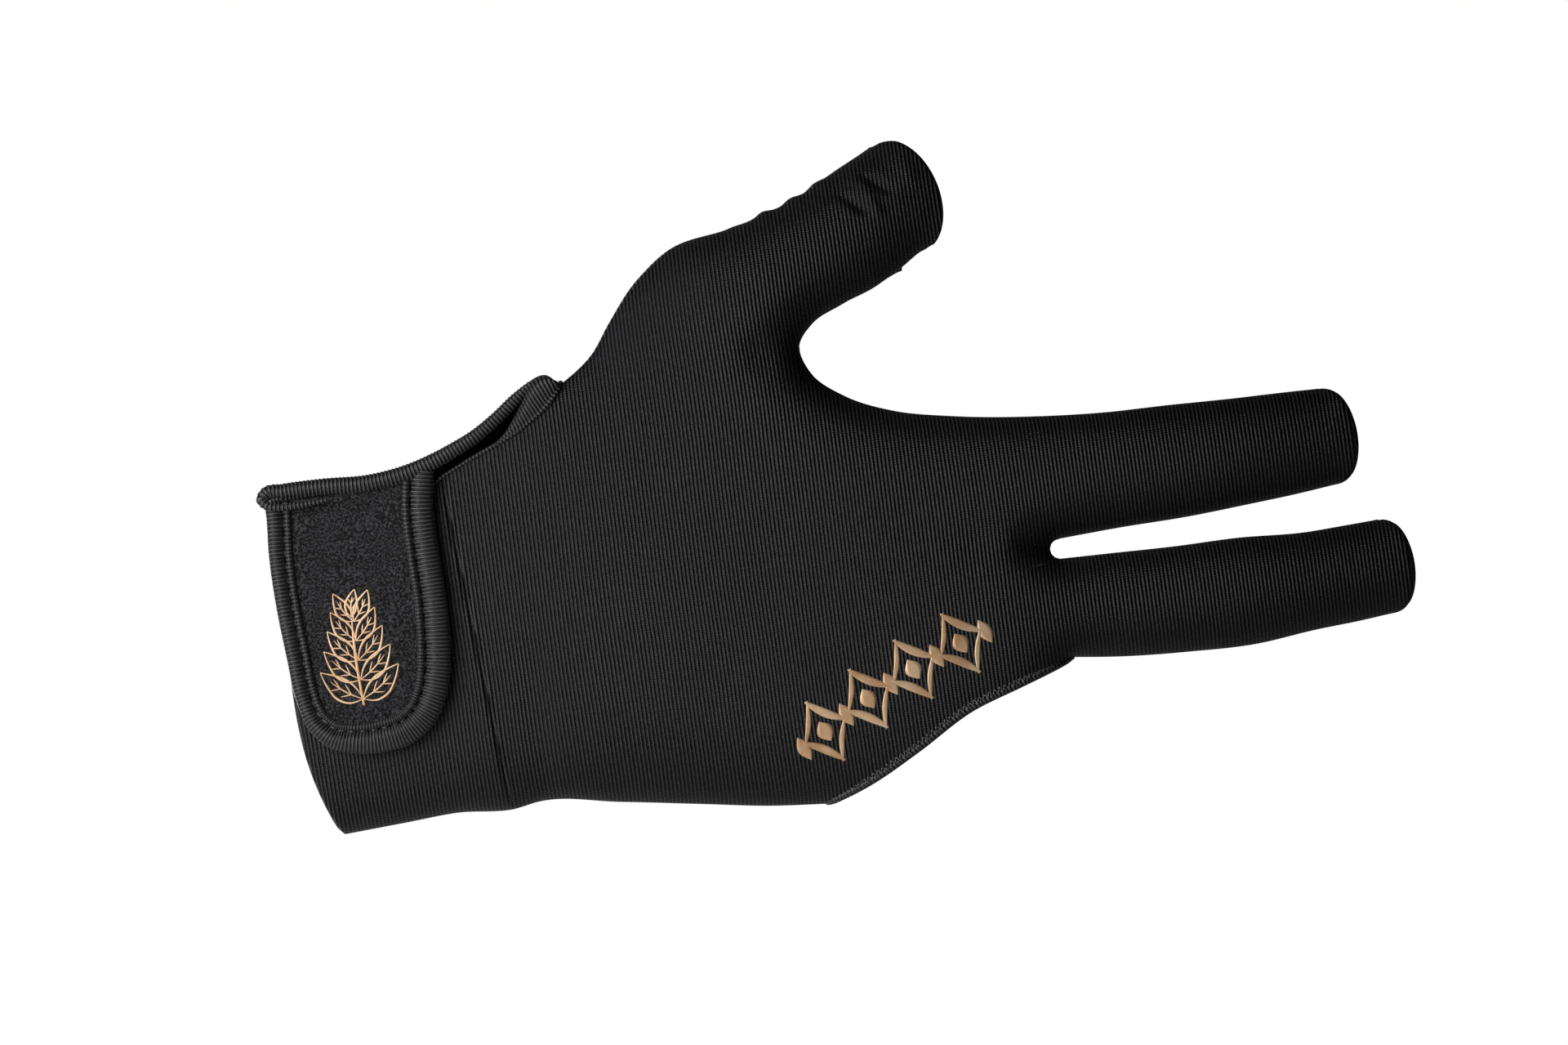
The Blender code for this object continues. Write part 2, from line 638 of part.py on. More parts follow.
    def inward(self):
        """At each seam point the direction into the hand, within its middle surface."""
        edges = boundary_edges(self.triangles)
        edges = edges[self.seam[edges].all(axis=1)]
        step = self.flat[edges[:, 1]] - self.flat[edges[:, 0]]
        step /= np.linalg.norm(step, axis=1, keepdims=True)
        clockwise = self.signed_area() < 0.0
        left = np.stack([-step[:, 1], step[:, 0]], axis=-1) * (-1.0 if clockwise else 1.0)
        total = np.zeros((self.count, 3))
        for end in range(2):
            np.add.at(total[:, 0], edges[:, end], left[:, 0])
            np.add.at(total[:, 2], edges[:, end], left[:, 1])
        total -= np.sum(total * self.back, axis=1, keepdims=True) * self.back
        length = np.linalg.norm(total, axis=1, keepdims=True)
        return total / np.where(length > 0.0, length, 1.0)

    def signed_area(self):
        a, b, c = (self.flat[self.triangles[:, i]] for i in range(3))
        return float(np.sum((b - a)[:, 0] * (c - a)[:, 1] - (b - a)[:, 1] * (c - a)[:, 0]))


def add_object(name, points, faces, finish):
    mesh = bpy.data.meshes.new(name)
    mesh.from_pydata([tuple(p) for p in points], [], [tuple(int(i) for i in f) for f in faces])
    mesh.materials.append(finish)
    mesh.shade_smooth()
    mesh.set_sharp_from_angle(angle=math.radians(50.0))
    made = bpy.data.objects.new(name, mesh)
    bpy.context.scene.collection.objects.link(made)
    return made


def add_shell(name, points, triangles, inner, finish):
    """A closed wall between outer points and inner points, with rims round its open edges."""
    used = np.unique(triangles)
    renumber = np.full(len(points), -1)
    renumber[used] = np.arange(len(used))
    outer_faces = renumber[triangles]
    count = len(used)
    rim = boundary_edges(outer_faces)
    inner_faces = outer_faces[:, ::-1] + count
    walls = np.concatenate(
        [
            np.stack([rim[:, 1], rim[:, 0], rim[:, 0] + count], axis=-1),
            np.stack([rim[:, 1], rim[:, 0] + count, rim[:, 1] + count], axis=-1),
        ]
    )
    faces = np.concatenate([outer_faces, inner_faces, walls])
    return add_object(name, np.concatenate([points[used], inner[used]]), faces, finish)


def shell_inner(points, triangles, wall, seam, inward):
    normals = vertex_normals(points, triangles)
    inner = points - wall * normals
    inner[seam] = points[seam] + wall * inward[seam]
    return inner


def add_panel(name, hand, towards_back, finish):
    names = ["palm", "index", "middle", "thumb"] + ([] if towards_back else ["palm_slit"])
    triangles = triangles_of(np.concatenate([quads_of(hand.ids[n]) for n in names]))
    points = hand.surface(towards_back)
    points[hand.ids["palm"][0], 0] += SEAM_GAP / 2.0
    points[hand.ids["palm_slit"][0], 0] += SEAM_GAP / 2.0
    points[:, 1] += -SEAM_GAP / 2.0 if towards_back else SEAM_GAP / 2.0
    if (hand.signed_area() > 0.0) != towards_back:
        triangles = triangles[:, ::-1]
    inner = shell_inner(points, triangles, PANEL_WALL, hand.seam, hand.inward())
    return add_shell(name, points, triangles, inner, finish)


def add_cuff(name, hand, finish):
    """The cuff wraps round the lower side in one piece and is open at the slit."""
    back, palm = hand.surface(True), hand.surface(False)
    for side in (back, palm):
        side[hand.ids["cuff"][-1], 0] -= SEAM_GAP / 2.0
        side[hand.ids["cuff_slit"][-1], 0] -= SEAM_GAP / 2.0
    palm_ids = np.arange(hand.count) + hand.count
    palm_ids[hand.ids["cuff"][:, 0]] = hand.ids["cuff"][:, 0]
    back_faces = triangles_of(quads_of(hand.ids["cuff"]))
    palm_faces = np.concatenate([quads_of(hand.ids["cuff"]), quads_of(hand.ids["cuff_slit"])])
    palm_faces = palm_ids[triangles_of(palm_faces)]
    if hand.signed_area() > 0.0:
        palm_faces = palm_faces[:, ::-1]
    else:
        back_faces = back_faces[:, ::-1]
    triangles = np.concatenate([back_faces, palm_faces])
    points = np.concatenate([back, palm])
    far = np.zeros(len(points), dtype=bool)
    far[palm_ids[hand.ids["cuff_slit"][:, -1]]] = True
    inward = np.concatenate([hand.inward(), hand.inward()])
    inner = shell_inner(points, triangles, CUFF_WALL, far, inward)
    return add_shell(name, points, triangles, inner, finish)


def add_tape(name, path, outwards, widths, heights, finish, closed=False):
    """A tape or roll of oval section carried along a path.

    outwards gives the direction in which heights are measured, and widths lie across the path.
    """
    path, outwards = np.asarray(path), np.asarray(outwards)
    steps = np.roll(path, -1, axis=0) - np.roll(path, 1, axis=0)
    if not closed:
        steps[0] = path[1] - path[0]
        steps[-1] = path[-1] - path[-2]
    steps /= np.linalg.norm(steps, axis=1, keepdims=True)
    aside = np.cross(steps, outwards)
    aside /= np.linalg.norm(aside, axis=1, keepdims=True)
    up = np.cross(aside, steps)
    angles = 2.0 * np.pi * np.arange(TAPE_SIDES) / TAPE_SIDES
    wide = 0.5 * np.broadcast_to(widths, len(path))[:, None, None]
    high = 0.5 * np.broadcast_to(heights, len(path))[:, None, None]
    rings = (
        path[:, None, :]
        + wide * np.cos(angles)[None, :, None] * aside[:, None, :]
        + high * np.sin(angles)[None, :, None] * up[:, None, :]
    )
    ids = np.arange(len(path) * TAPE_SIDES).reshape(len(path), TAPE_SIDES)
    ids = np.concatenate([ids, ids[:, :1]], axis=1)
    if closed:
        ids = np.concatenate([ids, ids[:1]], axis=0)
    faces = [tuple(face) for face in quads_of(ids)]
    if not closed:
        faces.append(tuple(ids[0, :-1]))
        faces.append(tuple(ids[-1, :-1][::-1]))
    return add_object(name, rings.reshape(-1, 3), faces, finish)


class Seat:
    """The whole back of the hand, slit included, on which the tab lies."""

    def __init__(self, hand):
        faces = [tuple(int(i) for i in face) for face in hand.triangles]
        self.points = hand.surface(True)
        self.tree = BVHTree.FromPolygons([Vector(p) for p in self.points], faces)

    def depth_at(self, flat):
        """The y value of the surface over each flat point, or of its nearest point past the edge."""
        values = []
        for x, z in flat.reshape(-1, 2):
            hit = self.tree.ray_cast(Vector((x, -1.0, z)), Vector((0.0, 1.0, 0.0)))[0]
            if hit is None:
                hit = self.tree.find_nearest(Vector((x, -0.6 * HAND_HALF_DEPTH, z)))[0]
            values.append(hit.y)
        return np.array(values).reshape(flat.shape[:-1])


class Tab:
    """The hook-and-loop tab: a straight tongue with a round end, tucked under the slit roll."""

    def __init__(self, hand):
        self.seat = Seat(hand)
        self.far = hand.outline.far.sample(np.linspace(0.0, 1.0, 4 * CURVE_STEPS), 0, None)
        roll_reach = SLIT_ROLL_DIAMETER + TAB_CLEARANCE
        self.top_drop = CUFF_WALL / 2.0 + roll_reach - SLIT_ROLL_DIAMETER / 2.0
        self.root_z = self.far_z(self.root_x(0.5)) - self.top_drop

    @staticmethod
    def root_x(share):
        return TAB_SET_BACK * CUFF_LENGTH + share * TAB_WIDTH

    def far_z(self, x):
        return np.interp(x, self.far[:, 0], self.far[:, 1])

    def place(self, side, along, inset):
        """Flat points of the tab: side from -1 to 1, along from 0 at the root to 1 at the end."""
        side, along = np.broadcast_arrays(np.asarray(side, float), np.asarray(along, float))
        half = TAB_WIDTH / 2.0 - inset
        z = self.root_z - (TAB_LENGTH - inset) * along
        past = np.clip((along - TAB_STRAIGHT_SHARE) / (1.0 - TAB_STRAIGHT_SHARE), 0.0, 1.0)
        narrow = (1.0 - past**TAB_ROUNDNESS) ** (1.0 / TAB_ROUNDNESS)
        x = self.root_x(0.5) + (self.root_z - z) * math.tan(TAB_LEAN) + side * half * narrow
        top = self.far_z(x - TAB_TAPE_WIDTH / 2.0) - self.top_drop
        z = z + (top - self.root_z) * np.clip(1.0 - along / TAB_STRAIGHT_SHARE, 0.0, 1.0)
        return np.stack([x, z], axis=-1)

    def plate(self, finish):
        inset = TAB_TAPE_WIDTH + SEAM_GAP + SEAM_GAP / 2.0
        straight = np.linspace(0.0, TAB_STRAIGHT_SHARE, TAB_ROWS // 2 + 1)
        turns = np.sin(0.5 * np.pi * np.linspace(0.0, 1.0, TAB_ROWS // 2 + 1)[1:])
        rounded = TAB_STRAIGHT_SHARE + (1.0 - TAB_STRAIGHT_SHARE) * turns * TAB_PLATE_END_SHARE
        along = np.concatenate([straight, rounded])
        side = np.linspace(-1.0, 1.0, TAB_COLUMNS + 1)
        flat = self.place(side[None, :], along[:, None], inset)
        depth = self.seat.depth_at(flat) - TAB_CLEARANCE
        points = np.stack([flat[..., 0], depth, flat[..., 1]], axis=-1).reshape(-1, 3)
        ids = np.arange(len(points)).reshape(flat.shape[:2])
        triangles = triangles_of(quads_of(ids))
        if vertex_normals(points, triangles)[:, 1].mean() > 0.0:
            triangles = triangles[:, ::-1]
        outer = points - (0.0, TAB_THICKNESS, 0.0)
        return add_shell("closure_tab", outer, triangles, points, finish)

    def rim_path(self, inset, steps):
        """Points down one side of the tab, round its end and up the other side."""
        quarter = steps // 3
        straight = np.linspace(0.0, TAB_STRAIGHT_SHARE, quarter + 1)[:-1]
        angles = np.linspace(0.0, np.pi, steps - 2 * quarter + 1)
        power = 2.0 / TAB_ROUNDNESS
        side = np.sign(np.cos(angles)) * np.abs(np.cos(angles)) ** power
        along = TAB_STRAIGHT_SHARE + (1.0 - TAB_STRAIGHT_SHARE) * np.abs(np.sin(angles)) ** power
        half = np.where(along > TAB_STRAIGHT_SHARE, side, np.sign(side))
        left = self.place(np.full(quarter, -1.0), straight, inset)
        right = self.place(np.full(quarter, 1.0), straight[::-1], inset)
        past = (along - TAB_STRAIGHT_SHARE) / (1.0 - TAB_STRAIGHT_SHARE)
        narrow = (1.0 - np.clip(past, 0.0, 1.0) ** TAB_ROUNDNESS) ** (1.0 / TAB_ROUNDNESS)
        rounded = self.place(-half / np.maximum(narrow, MERGE_SIZE), along, inset)
        return np.concatenate([left, rounded, right])

    def tape(self, finish):
        flat = self.rim_path(TAB_TAPE_WIDTH / 2.0, TAPE_STEPS)
        depth = self.seat.depth_at(flat) - TAB_CLEARANCE - TAB_TAPE_THICKNESS / 2.0
        path = np.stack([flat[:, 0], depth, flat[:, 1]], axis=-1)
        outwards = np.tile((0.0, -1.0, 0.0), (len(path), 1))
        return add_tape("tab_binding", path, outwards, TAB_TAPE_WIDTH, TAB_TAPE_THICKNESS, finish)


def flat_outward(edge):
    """Unit vectors across a flat edge, to the left of its direction."""
    step = np.gradient(edge, axis=0)
    step /= np.linalg.norm(step, axis=1, keepdims=True)
    return np.stack([-step[:, 1], step[:, 0]], axis=-1)


def add_slit_binding(hand, tab, finish):
    """One tape round the slit: the thin near edge, the turn at its end, the far roll and its lip."""
    outline = hand.outline
    near_edge = hand.surface(True)[hand.ids["palm"][: SLIT_COLUMNS + 1, -1]]
    out = flat_outward(near_edge[:, (0, 2)])
    reach = SLIT_EDGE_DIAMETER / 2.0 + SEAM_GAP
    near = near_edge.copy()
    near[:, (0, 2)] += reach * out
    near[:, 1] += PANEL_WALL / 2.0
    near[-1, 1] = near_edge[-1, 1] - reach - SEAM_GAP

    roll = SLIT_ROLL_DIAMETER / 2.0
    shares = np.linspace(SLIT_TURN_SHARE, 1.0, TAPE_STEPS // 2 + 1)
    flat = outline.far.sample(1.0 - shares)
    far_y = -outline.seam_forward(flat[:, 0]) - SEAM_GAP - roll
    far = np.stack([flat[:, 0], far_y, flat[:, 1] - CUFF_WALL / 2.0], axis=-1)
    taper = SLIT_TURN_TAPER * (1.0 - smooth_step((shares - shares[0]) / SLIT_TAPER_SHARE))
    far_sizes = SLIT_ROLL_DIAMETER * (1.0 - taper)

    lip_x = tab.root_x(np.linspace(LIP_START_SHARE, LIP_SHARE, 5))
    lip_z = tab.far_z(lip_x) - tab.top_drop - LIP_DIAMETER
    tape_top = tab.rim_path(TAB_TAPE_WIDTH / 2.0, TAPE_STEPS)[:2]
    tape_front = tab.seat.depth_at(tape_top).min() - TAB_CLEARANCE - TAB_TAPE_THICKNESS
    lip_y = np.full(len(lip_x), tape_front - SEAM_GAP - LIP_DIAMETER / 2.0)
    lip = np.stack([lip_x, lip_y, lip_z], axis=-1)
    turn_size = (SLIT_ROLL_DIAMETER + LIP_DIAMETER) / 2.0
    first_turn = far[-1] + turn_size * np.array(SLIT_TURN_FROM_ROLL)
    second_turn = lip[0] + turn_size * np.array(SLIT_TURN_FROM_LIP)

    path = np.concatenate([near, far, [first_turn, second_turn], lip])
    near_sizes = np.full(len(near), SLIT_EDGE_DIAMETER)
    turn_sizes = np.multiply(SLIT_TURN_SIZES, (SLIT_ROLL_DIAMETER, turn_size))
    lip_sizes = LIP_DIAMETER * np.linspace(1.0, LIP_END_TAPER, len(lip))
    sizes = np.concatenate([near_sizes, far_sizes, turn_sizes, lip_sizes])
    outwards = np.tile((0.0, -1.0, 0.0), (len(path), 1))
    return add_tape("slit_binding", path, outwards, sizes, sizes, finish)


def add_hem(hand, finish):
    """A narrow rolled hem all round the opening of the two free fingers."""
    ids = hand.opening
    out = -flat_outward(hand.flat[ids])
    reach = HEM_DIAMETER / 2.0 + SEAM_GAP
    sides = []
    for towards_back in (True, False):
        side = hand.surface(towards_back)[ids]
        side[:, (0, 2)] += reach * out
        side[:, 1] += PANEL_WALL / 2.0 if towards_back else -PANEL_WALL / 2.0
        side[(0, -1), 1] = hand.middle[ids[(0, -1),], 1]
        sides.append(side)
    path = np.concatenate([sides[0], sides[1][-2:0:-1]])
    outwards = np.concatenate([out, out[-2:0:-1]])
    outwards = np.stack([outwards[:, 0], np.zeros(len(path)), outwards[:, 1]], axis=-1)
    return add_tape("finger_opening_hem", path, outwards, HEM_DIAMETER, HEM_DIAMETER, finish, closed=True)


def main():
    clear_scene()
    knit = material("black_knit", (0.012, 0.012, 0.013), 0.62)
    cuff_knit = material("cuff_knit", (0.013, 0.013, 0.014), 0.60)
    suede = material("black_suede", (0.010, 0.010, 0.010), 0.85)
    tape = material("ribbed_tape", (0.014, 0.014, 0.015), 0.48)
    outline = Outline()
    blocks = Blocks(outline)
    hand = Hand(outline, blocks)
    add_panel("back_panel", hand, True, knit)
    add_panel("palm_panel", hand, False, knit)
    add_cuff("wrist_band", hand, cuff_knit)
    tab = Tab(hand)
    tab.plate(suede)
    tab.tape(tape)
    add_slit_binding(hand, tab, tape)
    add_hem(hand, tape)


main()
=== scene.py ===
"""Billiard glove for the bridge hand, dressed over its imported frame.

The glove is filled out to the shape of a right hand and seen from its back. +X runs from the wrist
to the fingertips, +Z towards the thumb, and -Y out of the back of the hand. Lengths are in metres.
"""

import json
import logging
import math
from collections.abc import Callable, Sequence
from dataclasses import dataclass, field
from enum import Enum

import bpy
import numpy as np
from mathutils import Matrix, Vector
from mathutils.bvhtree import BVHTree

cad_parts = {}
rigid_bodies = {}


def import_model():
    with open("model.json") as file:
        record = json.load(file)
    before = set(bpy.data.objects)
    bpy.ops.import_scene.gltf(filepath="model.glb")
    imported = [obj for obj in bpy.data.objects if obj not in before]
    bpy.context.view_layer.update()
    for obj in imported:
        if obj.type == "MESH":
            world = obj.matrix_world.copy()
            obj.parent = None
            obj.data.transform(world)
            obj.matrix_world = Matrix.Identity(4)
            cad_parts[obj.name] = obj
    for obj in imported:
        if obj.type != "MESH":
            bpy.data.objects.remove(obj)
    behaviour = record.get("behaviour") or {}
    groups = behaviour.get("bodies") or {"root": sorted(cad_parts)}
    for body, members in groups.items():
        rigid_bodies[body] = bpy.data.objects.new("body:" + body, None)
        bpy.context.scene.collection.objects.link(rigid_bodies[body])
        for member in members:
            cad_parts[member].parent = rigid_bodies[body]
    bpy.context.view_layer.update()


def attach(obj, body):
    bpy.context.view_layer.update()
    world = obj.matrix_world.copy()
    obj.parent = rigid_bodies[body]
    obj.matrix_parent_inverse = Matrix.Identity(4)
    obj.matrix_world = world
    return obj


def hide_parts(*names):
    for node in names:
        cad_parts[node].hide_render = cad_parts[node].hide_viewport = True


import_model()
LOG = logging.getLogger("billiard_glove")

MILLIMETRE = 0.001
PIXELS_PER_METRE = 6000.0
PHOTO_ORIGIN_PIXEL = (372.0, 813.0)

# Corners of the palm: along as a share of palm_length from the cuff seam, across of palm_width
LOWER_EDGE = (
    # along, across
    (0.061, -0.343),
    (0.102, -0.326),
    (0.244, -0.327),
    (0.386, -0.332),
    (0.500, -0.336),
    (0.597, -0.331),
)
SLIT_NEAR_EDGE = (
    # along, across
    (-0.061, 0.442),
    (-0.028, 0.471),
    (0.004, 0.497),
    (0.058, 0.541),
    (0.091, 0.576),
    (0.123, 0.619),
    (0.142, 0.665),
)
SLIT_FAR_EDGE = (
    # along, across
    (-0.061, 0.512),
    (-0.028, 0.535),
    (0.025, 0.592),
    (0.069, 0.649),
    (0.101, 0.682),
    (0.142, 0.665),
)
THUMB_SIDE_EDGE = (
    # along, across
    (0.142, 0.665),
    (0.190, 0.728),
    (0.223, 0.810),
    (0.264, 0.901),
)
THUMB_CROTCH = (0.551, 0.753)
WEB_ACROSS = 0.274

# Corners of the cuff: along as a share of cuff_length from the mouth, across of cuff_width
CUFF_LOWER = ((0.236, -0.510), (0.592, -0.474), (0.869, -0.446))
CUFF_NEAR = ((-0.167, 0.404), (0.278, 0.441), (0.611, 0.486))
CUFF_FAR = ((-0.194, 0.526), (0.111, 0.545), (0.375, 0.565), (0.597, 0.597))

# Waves of the edges: along as a share of the edge's chord, out as a share of the same chord
THUMB_OUTER_WAVE = ((0.17, 0.045), (0.42, -0.004), (0.66, -0.024), (0.85, -0.008))
THUMB_INNER_WAVE = ((0.18, 0.068), (0.41, 0.040), (0.63, 0.000), (0.85, -0.009))
FREE_FINGER_EDGE_WAVE = ((0.17, -0.008), (0.37, 0.007), (0.60, 0.033), (0.80, 0.019))

# Swell of a finger: along as a share of its length, width as a share of its own width there
INDEX_SWELL = ((0.22, 0.985), (0.45, 1.012), (0.70, 1.012), (0.86, 1.014))
MIDDLE_SWELL = ((0.15, 1.055), (0.36, 1.090), (0.56, 1.114), (0.76, 1.022), (0.90, 1.013))

# Folds of the cloth on the back of the hand, as pixels of the photograph: both ends of each fold,
# then its depth into the cloth and its half width in millimetres. A ridge has a depth below 0
HAND_FOLDS = (
    # column_a, row_a, column_b, row_b, deep, wide
    (1047, 223, 1066, 239, 1.15, 0.85),
    (1021, 246, 1041, 264, 1.30, 0.90),
    (1036, 226, 1056, 268, -0.60, 1.00),
    (1078, 190, 1092, 224, -0.40, 1.60),
    (940, 268, 1020, 232, 0.80, 1.70),
    (1300, 668, 1262, 666, 1.90, 3.60),
    (1262, 666, 1200, 662, 0.90, 4.80),
    (1200, 662, 1130, 652, 0.40, 5.50),
    (990, 398, 935, 430, 1.40, 4.50),
    (650, 800, 668, 965, 0.55, 3.00),
)
# Bumps of the thumb's upper outline, along from its root and height out of it, in millimetres
THUMB_EDGE_BUMPS = (
    # along, height
    (12.6, 0.20),
    (19.3, 0.70),
    (25.6, 0.62),
    (31.6, 0.48),
)
THUMB_BUMP_HALF_WIDTH = 1.7 * MILLIMETRE
THUMB_BUMP_REACH = 0.30

# Share of the thumb's whole lean that the straight line across its mouth has
THUMB_END_LEAN_SHARE = 0.95

# The tab's rim in the photograph, as pixels, from its root on the wrist side round to its other root
TAB_RIM = (
    (327, 618),
    (329, 632),
    (332, 677),
    (342, 746),
    (354, 804),
    (366, 857),
    (382, 893),
    (407, 914),
    (440, 921),
    (475, 919),
    (508, 908),
    (533, 886),
    (547, 858),
    (554, 820),
    (554, 784),
    (549, 731),
    (539, 670),
    (533, 624),
    (534, 578),
)
# The slit tape's middle line in the photograph: pixel column and row, and diameter in millimetres
FAR_ROLL = (
    (652, 471, 1.5),
    (634, 488, 2.3),
    (608, 514, 2.6),
    (583, 535, 2.8),
    (558, 551, 3.0),
    (533, 565, 3.2),
    (501, 579, 3.3),
    (455, 591, 3.3),
    (398, 596, 3.3),
    (350, 602, 3.2),
)
HAIRPIN = (
    (330, 605, 2.9),
    (325, 612, 2.4),
    (331, 619, 1.9),
)
LIP = (
    (345, 621, 1.45),
    (372, 618, 1.30),
    (404, 612, 0.70),
)
# The tape's turned face at the slit's end: its side towards the dark slit, and its side on the cloth
FACE_FAR_SIDE = (
    *((606, 545), (618, 533), (630, 514), (640, 493)),
    *((646, 476), (656, 464), (669, 460), (682, 468)),
)
FACE_NEAR_SIDE = (
    *((608, 546), (619, 539), (632, 532), (646, 521)),
    *((660, 509), (672, 495), (682, 481), (688, 472)),
)

# Flat points closer than the merge size are one point, and its cells are numbered row by row
MERGE_SIZE = 1.0e-6
CELLS_IN_A_ROW = 10_000_000
# The depth is solved to this relative error, in at most this many steps, over no smaller triangles
SOLVER_ERROR = 1.0e-14
SOLVER_STEPS = 4000
SMALLEST_AREA = 1.0e-14
# The relief along the cuff seam fades towards the sides by this power of the body share
SEAM_FADE = 0.3
# Way out of the back of the hand, towards the camera
OUT_OF_BACK = (0.0, -1.0, 0.0)


class Side(Enum):
    """The two faces of the hand, with the sign of their way out of it along the back's normal."""

    BACK = 1.0
    PALM = -1.0


class Way(Enum):
    """How a swept path ends."""

    OPEN = "open"
    CLOSED = "closed"


def photo_point(column: float, row: float) -> np.ndarray:
    """Flat (x, z) point that lies at a pixel of the photograph.

    Args:
        column: Pixel counted from the left of the 1920 x 1279 frame.
        row: Pixel counted from the top.

    Returns:
        x and z in metres.
    """
    across = column - PHOTO_ORIGIN_PIXEL[0]
    up = PHOTO_ORIGIN_PIXEL[1] - row
    return np.array((across, up)) / PIXELS_PER_METRE


def smooth_step(share: np.ndarray | float) -> np.ndarray:
    """Three times the square less twice the cube of a share clipped to 0 to 1."""
    clipped = np.clip(share, 0.0, 1.0)
    return clipped * clipped * (3.0 - 2.0 * clipped)


def edge_spaced(count: int) -> np.ndarray:
    """Shares from 0 to 1 with cosine spacing, closer together at both ends."""
    return (1.0 - np.cos(np.pi * np.arange(count + 1) / count)) / 2.0


def direction(angle: float) -> np.ndarray:
    """Flat unit vector at an angle from +X."""
    return np.array((math.cos(angle), math.sin(angle)))


def across(angle: float) -> np.ndarray:
    """Flat unit vector a quarter turn left of an angle's direction."""
    return np.array((-math.sin(angle), math.cos(angle)))


def normalised(vectors: np.ndarray) -> np.ndarray:
    """Vectors scaled to length one, with zero vectors left as they are."""
    length = np.linalg.norm(vectors, axis=-1, keepdims=True)
    return vectors / np.where(length > 0.0, length, 1.0)


def full_turn(count: int) -> np.ndarray:
    """Angles at even steps round a full turn, the last one a step short of it."""
    return 2.0 * np.pi * np.arange(count) / count


def left_of(line: np.ndarray) -> np.ndarray:
    """Unit vector a quarter turn left of a flat line's way at each of its points."""
    step = normalised(np.gradient(line, axis=0))
    return np.stack([-step[:, 1], step[:, 0]], axis=-1)


class Curve:
    """A smooth curve through points, sampled by its length."""

    STEPS = 24

    def __init__(self, points: Sequence[Sequence[float]] | np.ndarray) -> None:
        """Cubic Hermite pieces whose slopes are means of the chords, weighted by chord length.

        Args:
            points: Knots of the curve in any number of dimensions.
        """
        self.points = np.array(points, dtype=float)
        steps = np.linalg.norm(np.diff(self.points, axis=0), axis=1)
        slopes = np.diff(self.points, axis=0) / steps[:, None]
        tangents = np.empty_like(self.points)
        weights = (steps[1:] / (steps[1:] + steps[:-1]))[:, None]
        tangents[1:-1] = slopes[:-1] * weights + slopes[1:] * (1.0 - weights)
        tangents[0] = 1.5 * slopes[0] - 0.5 * tangents[1]
        tangents[-1] = 1.5 * slopes[-1] - 0.5 * tangents[-2]
        leave, arrive = tangents[:-1] * steps[:, None], tangents[1:] * steps[:, None]
        ends = zip(self.points[:-1], self.points[1:], leave, arrive, strict=True)
        self.pieces = [self.hermite(*piece) for piece in ends]

    @classmethod
    def hermite(
        cls, start: np.ndarray, end: np.ndarray, leave: np.ndarray, arrive: np.ndarray
    ) -> np.ndarray:
        """Points of one cubic piece: the four Hermite polynomials of its share times its ends."""
        share = np.linspace(0.0, 1.0, cls.STEPS + 1)[:, None]
        square, cube = share**2, share**3
        return (
            (2.0 * cube - 3.0 * square + 1.0) * start
            + (cube - 2.0 * square + share) * leave
            + (3.0 * square - 2.0 * cube) * end
            + (cube - square) * arrive
        )

    def sample(self, shares: np.ndarray, first: int = 0, last: int | None = None) -> np.ndarray:
        """Points at shares of the length between two knots.

        Args:
            shares: Shares from 0 to 1.
            first: Number of the knot at share 0.
            last: Number of the knot at share 1, or None for the curve's end.

        Returns:
            One point for each share.
        """
        chosen = self.pieces[first:last]
        dense = np.concatenate([chosen[0], *[piece[1:] for piece in chosen[1:]]])
        lengths = np.linalg.norm(np.diff(dense, axis=0), axis=1)
        travelled = np.concatenate([[0.0], np.cumsum(lengths)])
        wanted = np.asarray(shares) * travelled[-1]
        return np.stack([np.interp(wanted, travelled, values) for values in dense.T], axis=-1)


@dataclass(frozen=True)
class HandSizes:
    """Lengths, depths and slants of the glove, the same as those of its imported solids."""

    cuff_length: float = 0.0360
    cuff_width: float = 0.0680
    palm_length: float = 0.1183
    palm_width: float = 0.0860
    index_length: float = 0.0573
    index_root_width: float = 0.0254
    index_tip_width: float = 0.0200
    middle_length: float = 0.0662
    middle_root_width: float = 0.0203
    middle_tip_width: float = 0.0195
    web_gap: float = 0.0040
    thumb_length: float = 0.0434
    thumb_end_width: float = 0.0238
    hand_half_depth: float = 0.0141
    free_finger_half_depth: float = 0.0112
    index_curl: float = 0.0120
    middle_curl: float = 0.0125
    thumb_lean: float = 0.0105
    slit_forward: float = 0.0100
    wrist_depth_share: float = 0.80
    thumb_spread: float = math.radians(33.4)
    thumb_end_turn: float = math.radians(-12.0)
    index_rise: float = math.radians(8.4)
    middle_rise: float = math.radians(7.3)
    index_sag: float = 0.008
    middle_sag: float = 0.020
    crotch_turn_share: float = 0.63
    tip_bulge_share: float = 0.16
    thumb_bulge_share: float = 0.20
    curl_start_share: float = 0.25
    mouth_bow: float = 0.0500
    mouth_bow_skew: float = 2.1
    opening_roundness: float = 2.6
    slit_fade_before: float = 0.3
    slit_fade_length: float = 1.9
    panel_wall: float = 0.0010
    cuff_wall: float = 0.0016
    lower_edge_splits: tuple[float, ...] = (0.0, 0.225, 0.385, 1.0)

    def palm_point(self, row: tuple[float, float]) -> np.ndarray:
        """Flat point of a palm table's row."""
        return np.array((self.cuff_length + row[0] * self.palm_length, row[1] * self.palm_width))

    def cuff_point(self, row: tuple[float, float]) -> np.ndarray:
        """Flat point of a cuff table's row."""
        return np.array((row[0] * self.cuff_length, row[1] * self.cuff_width))


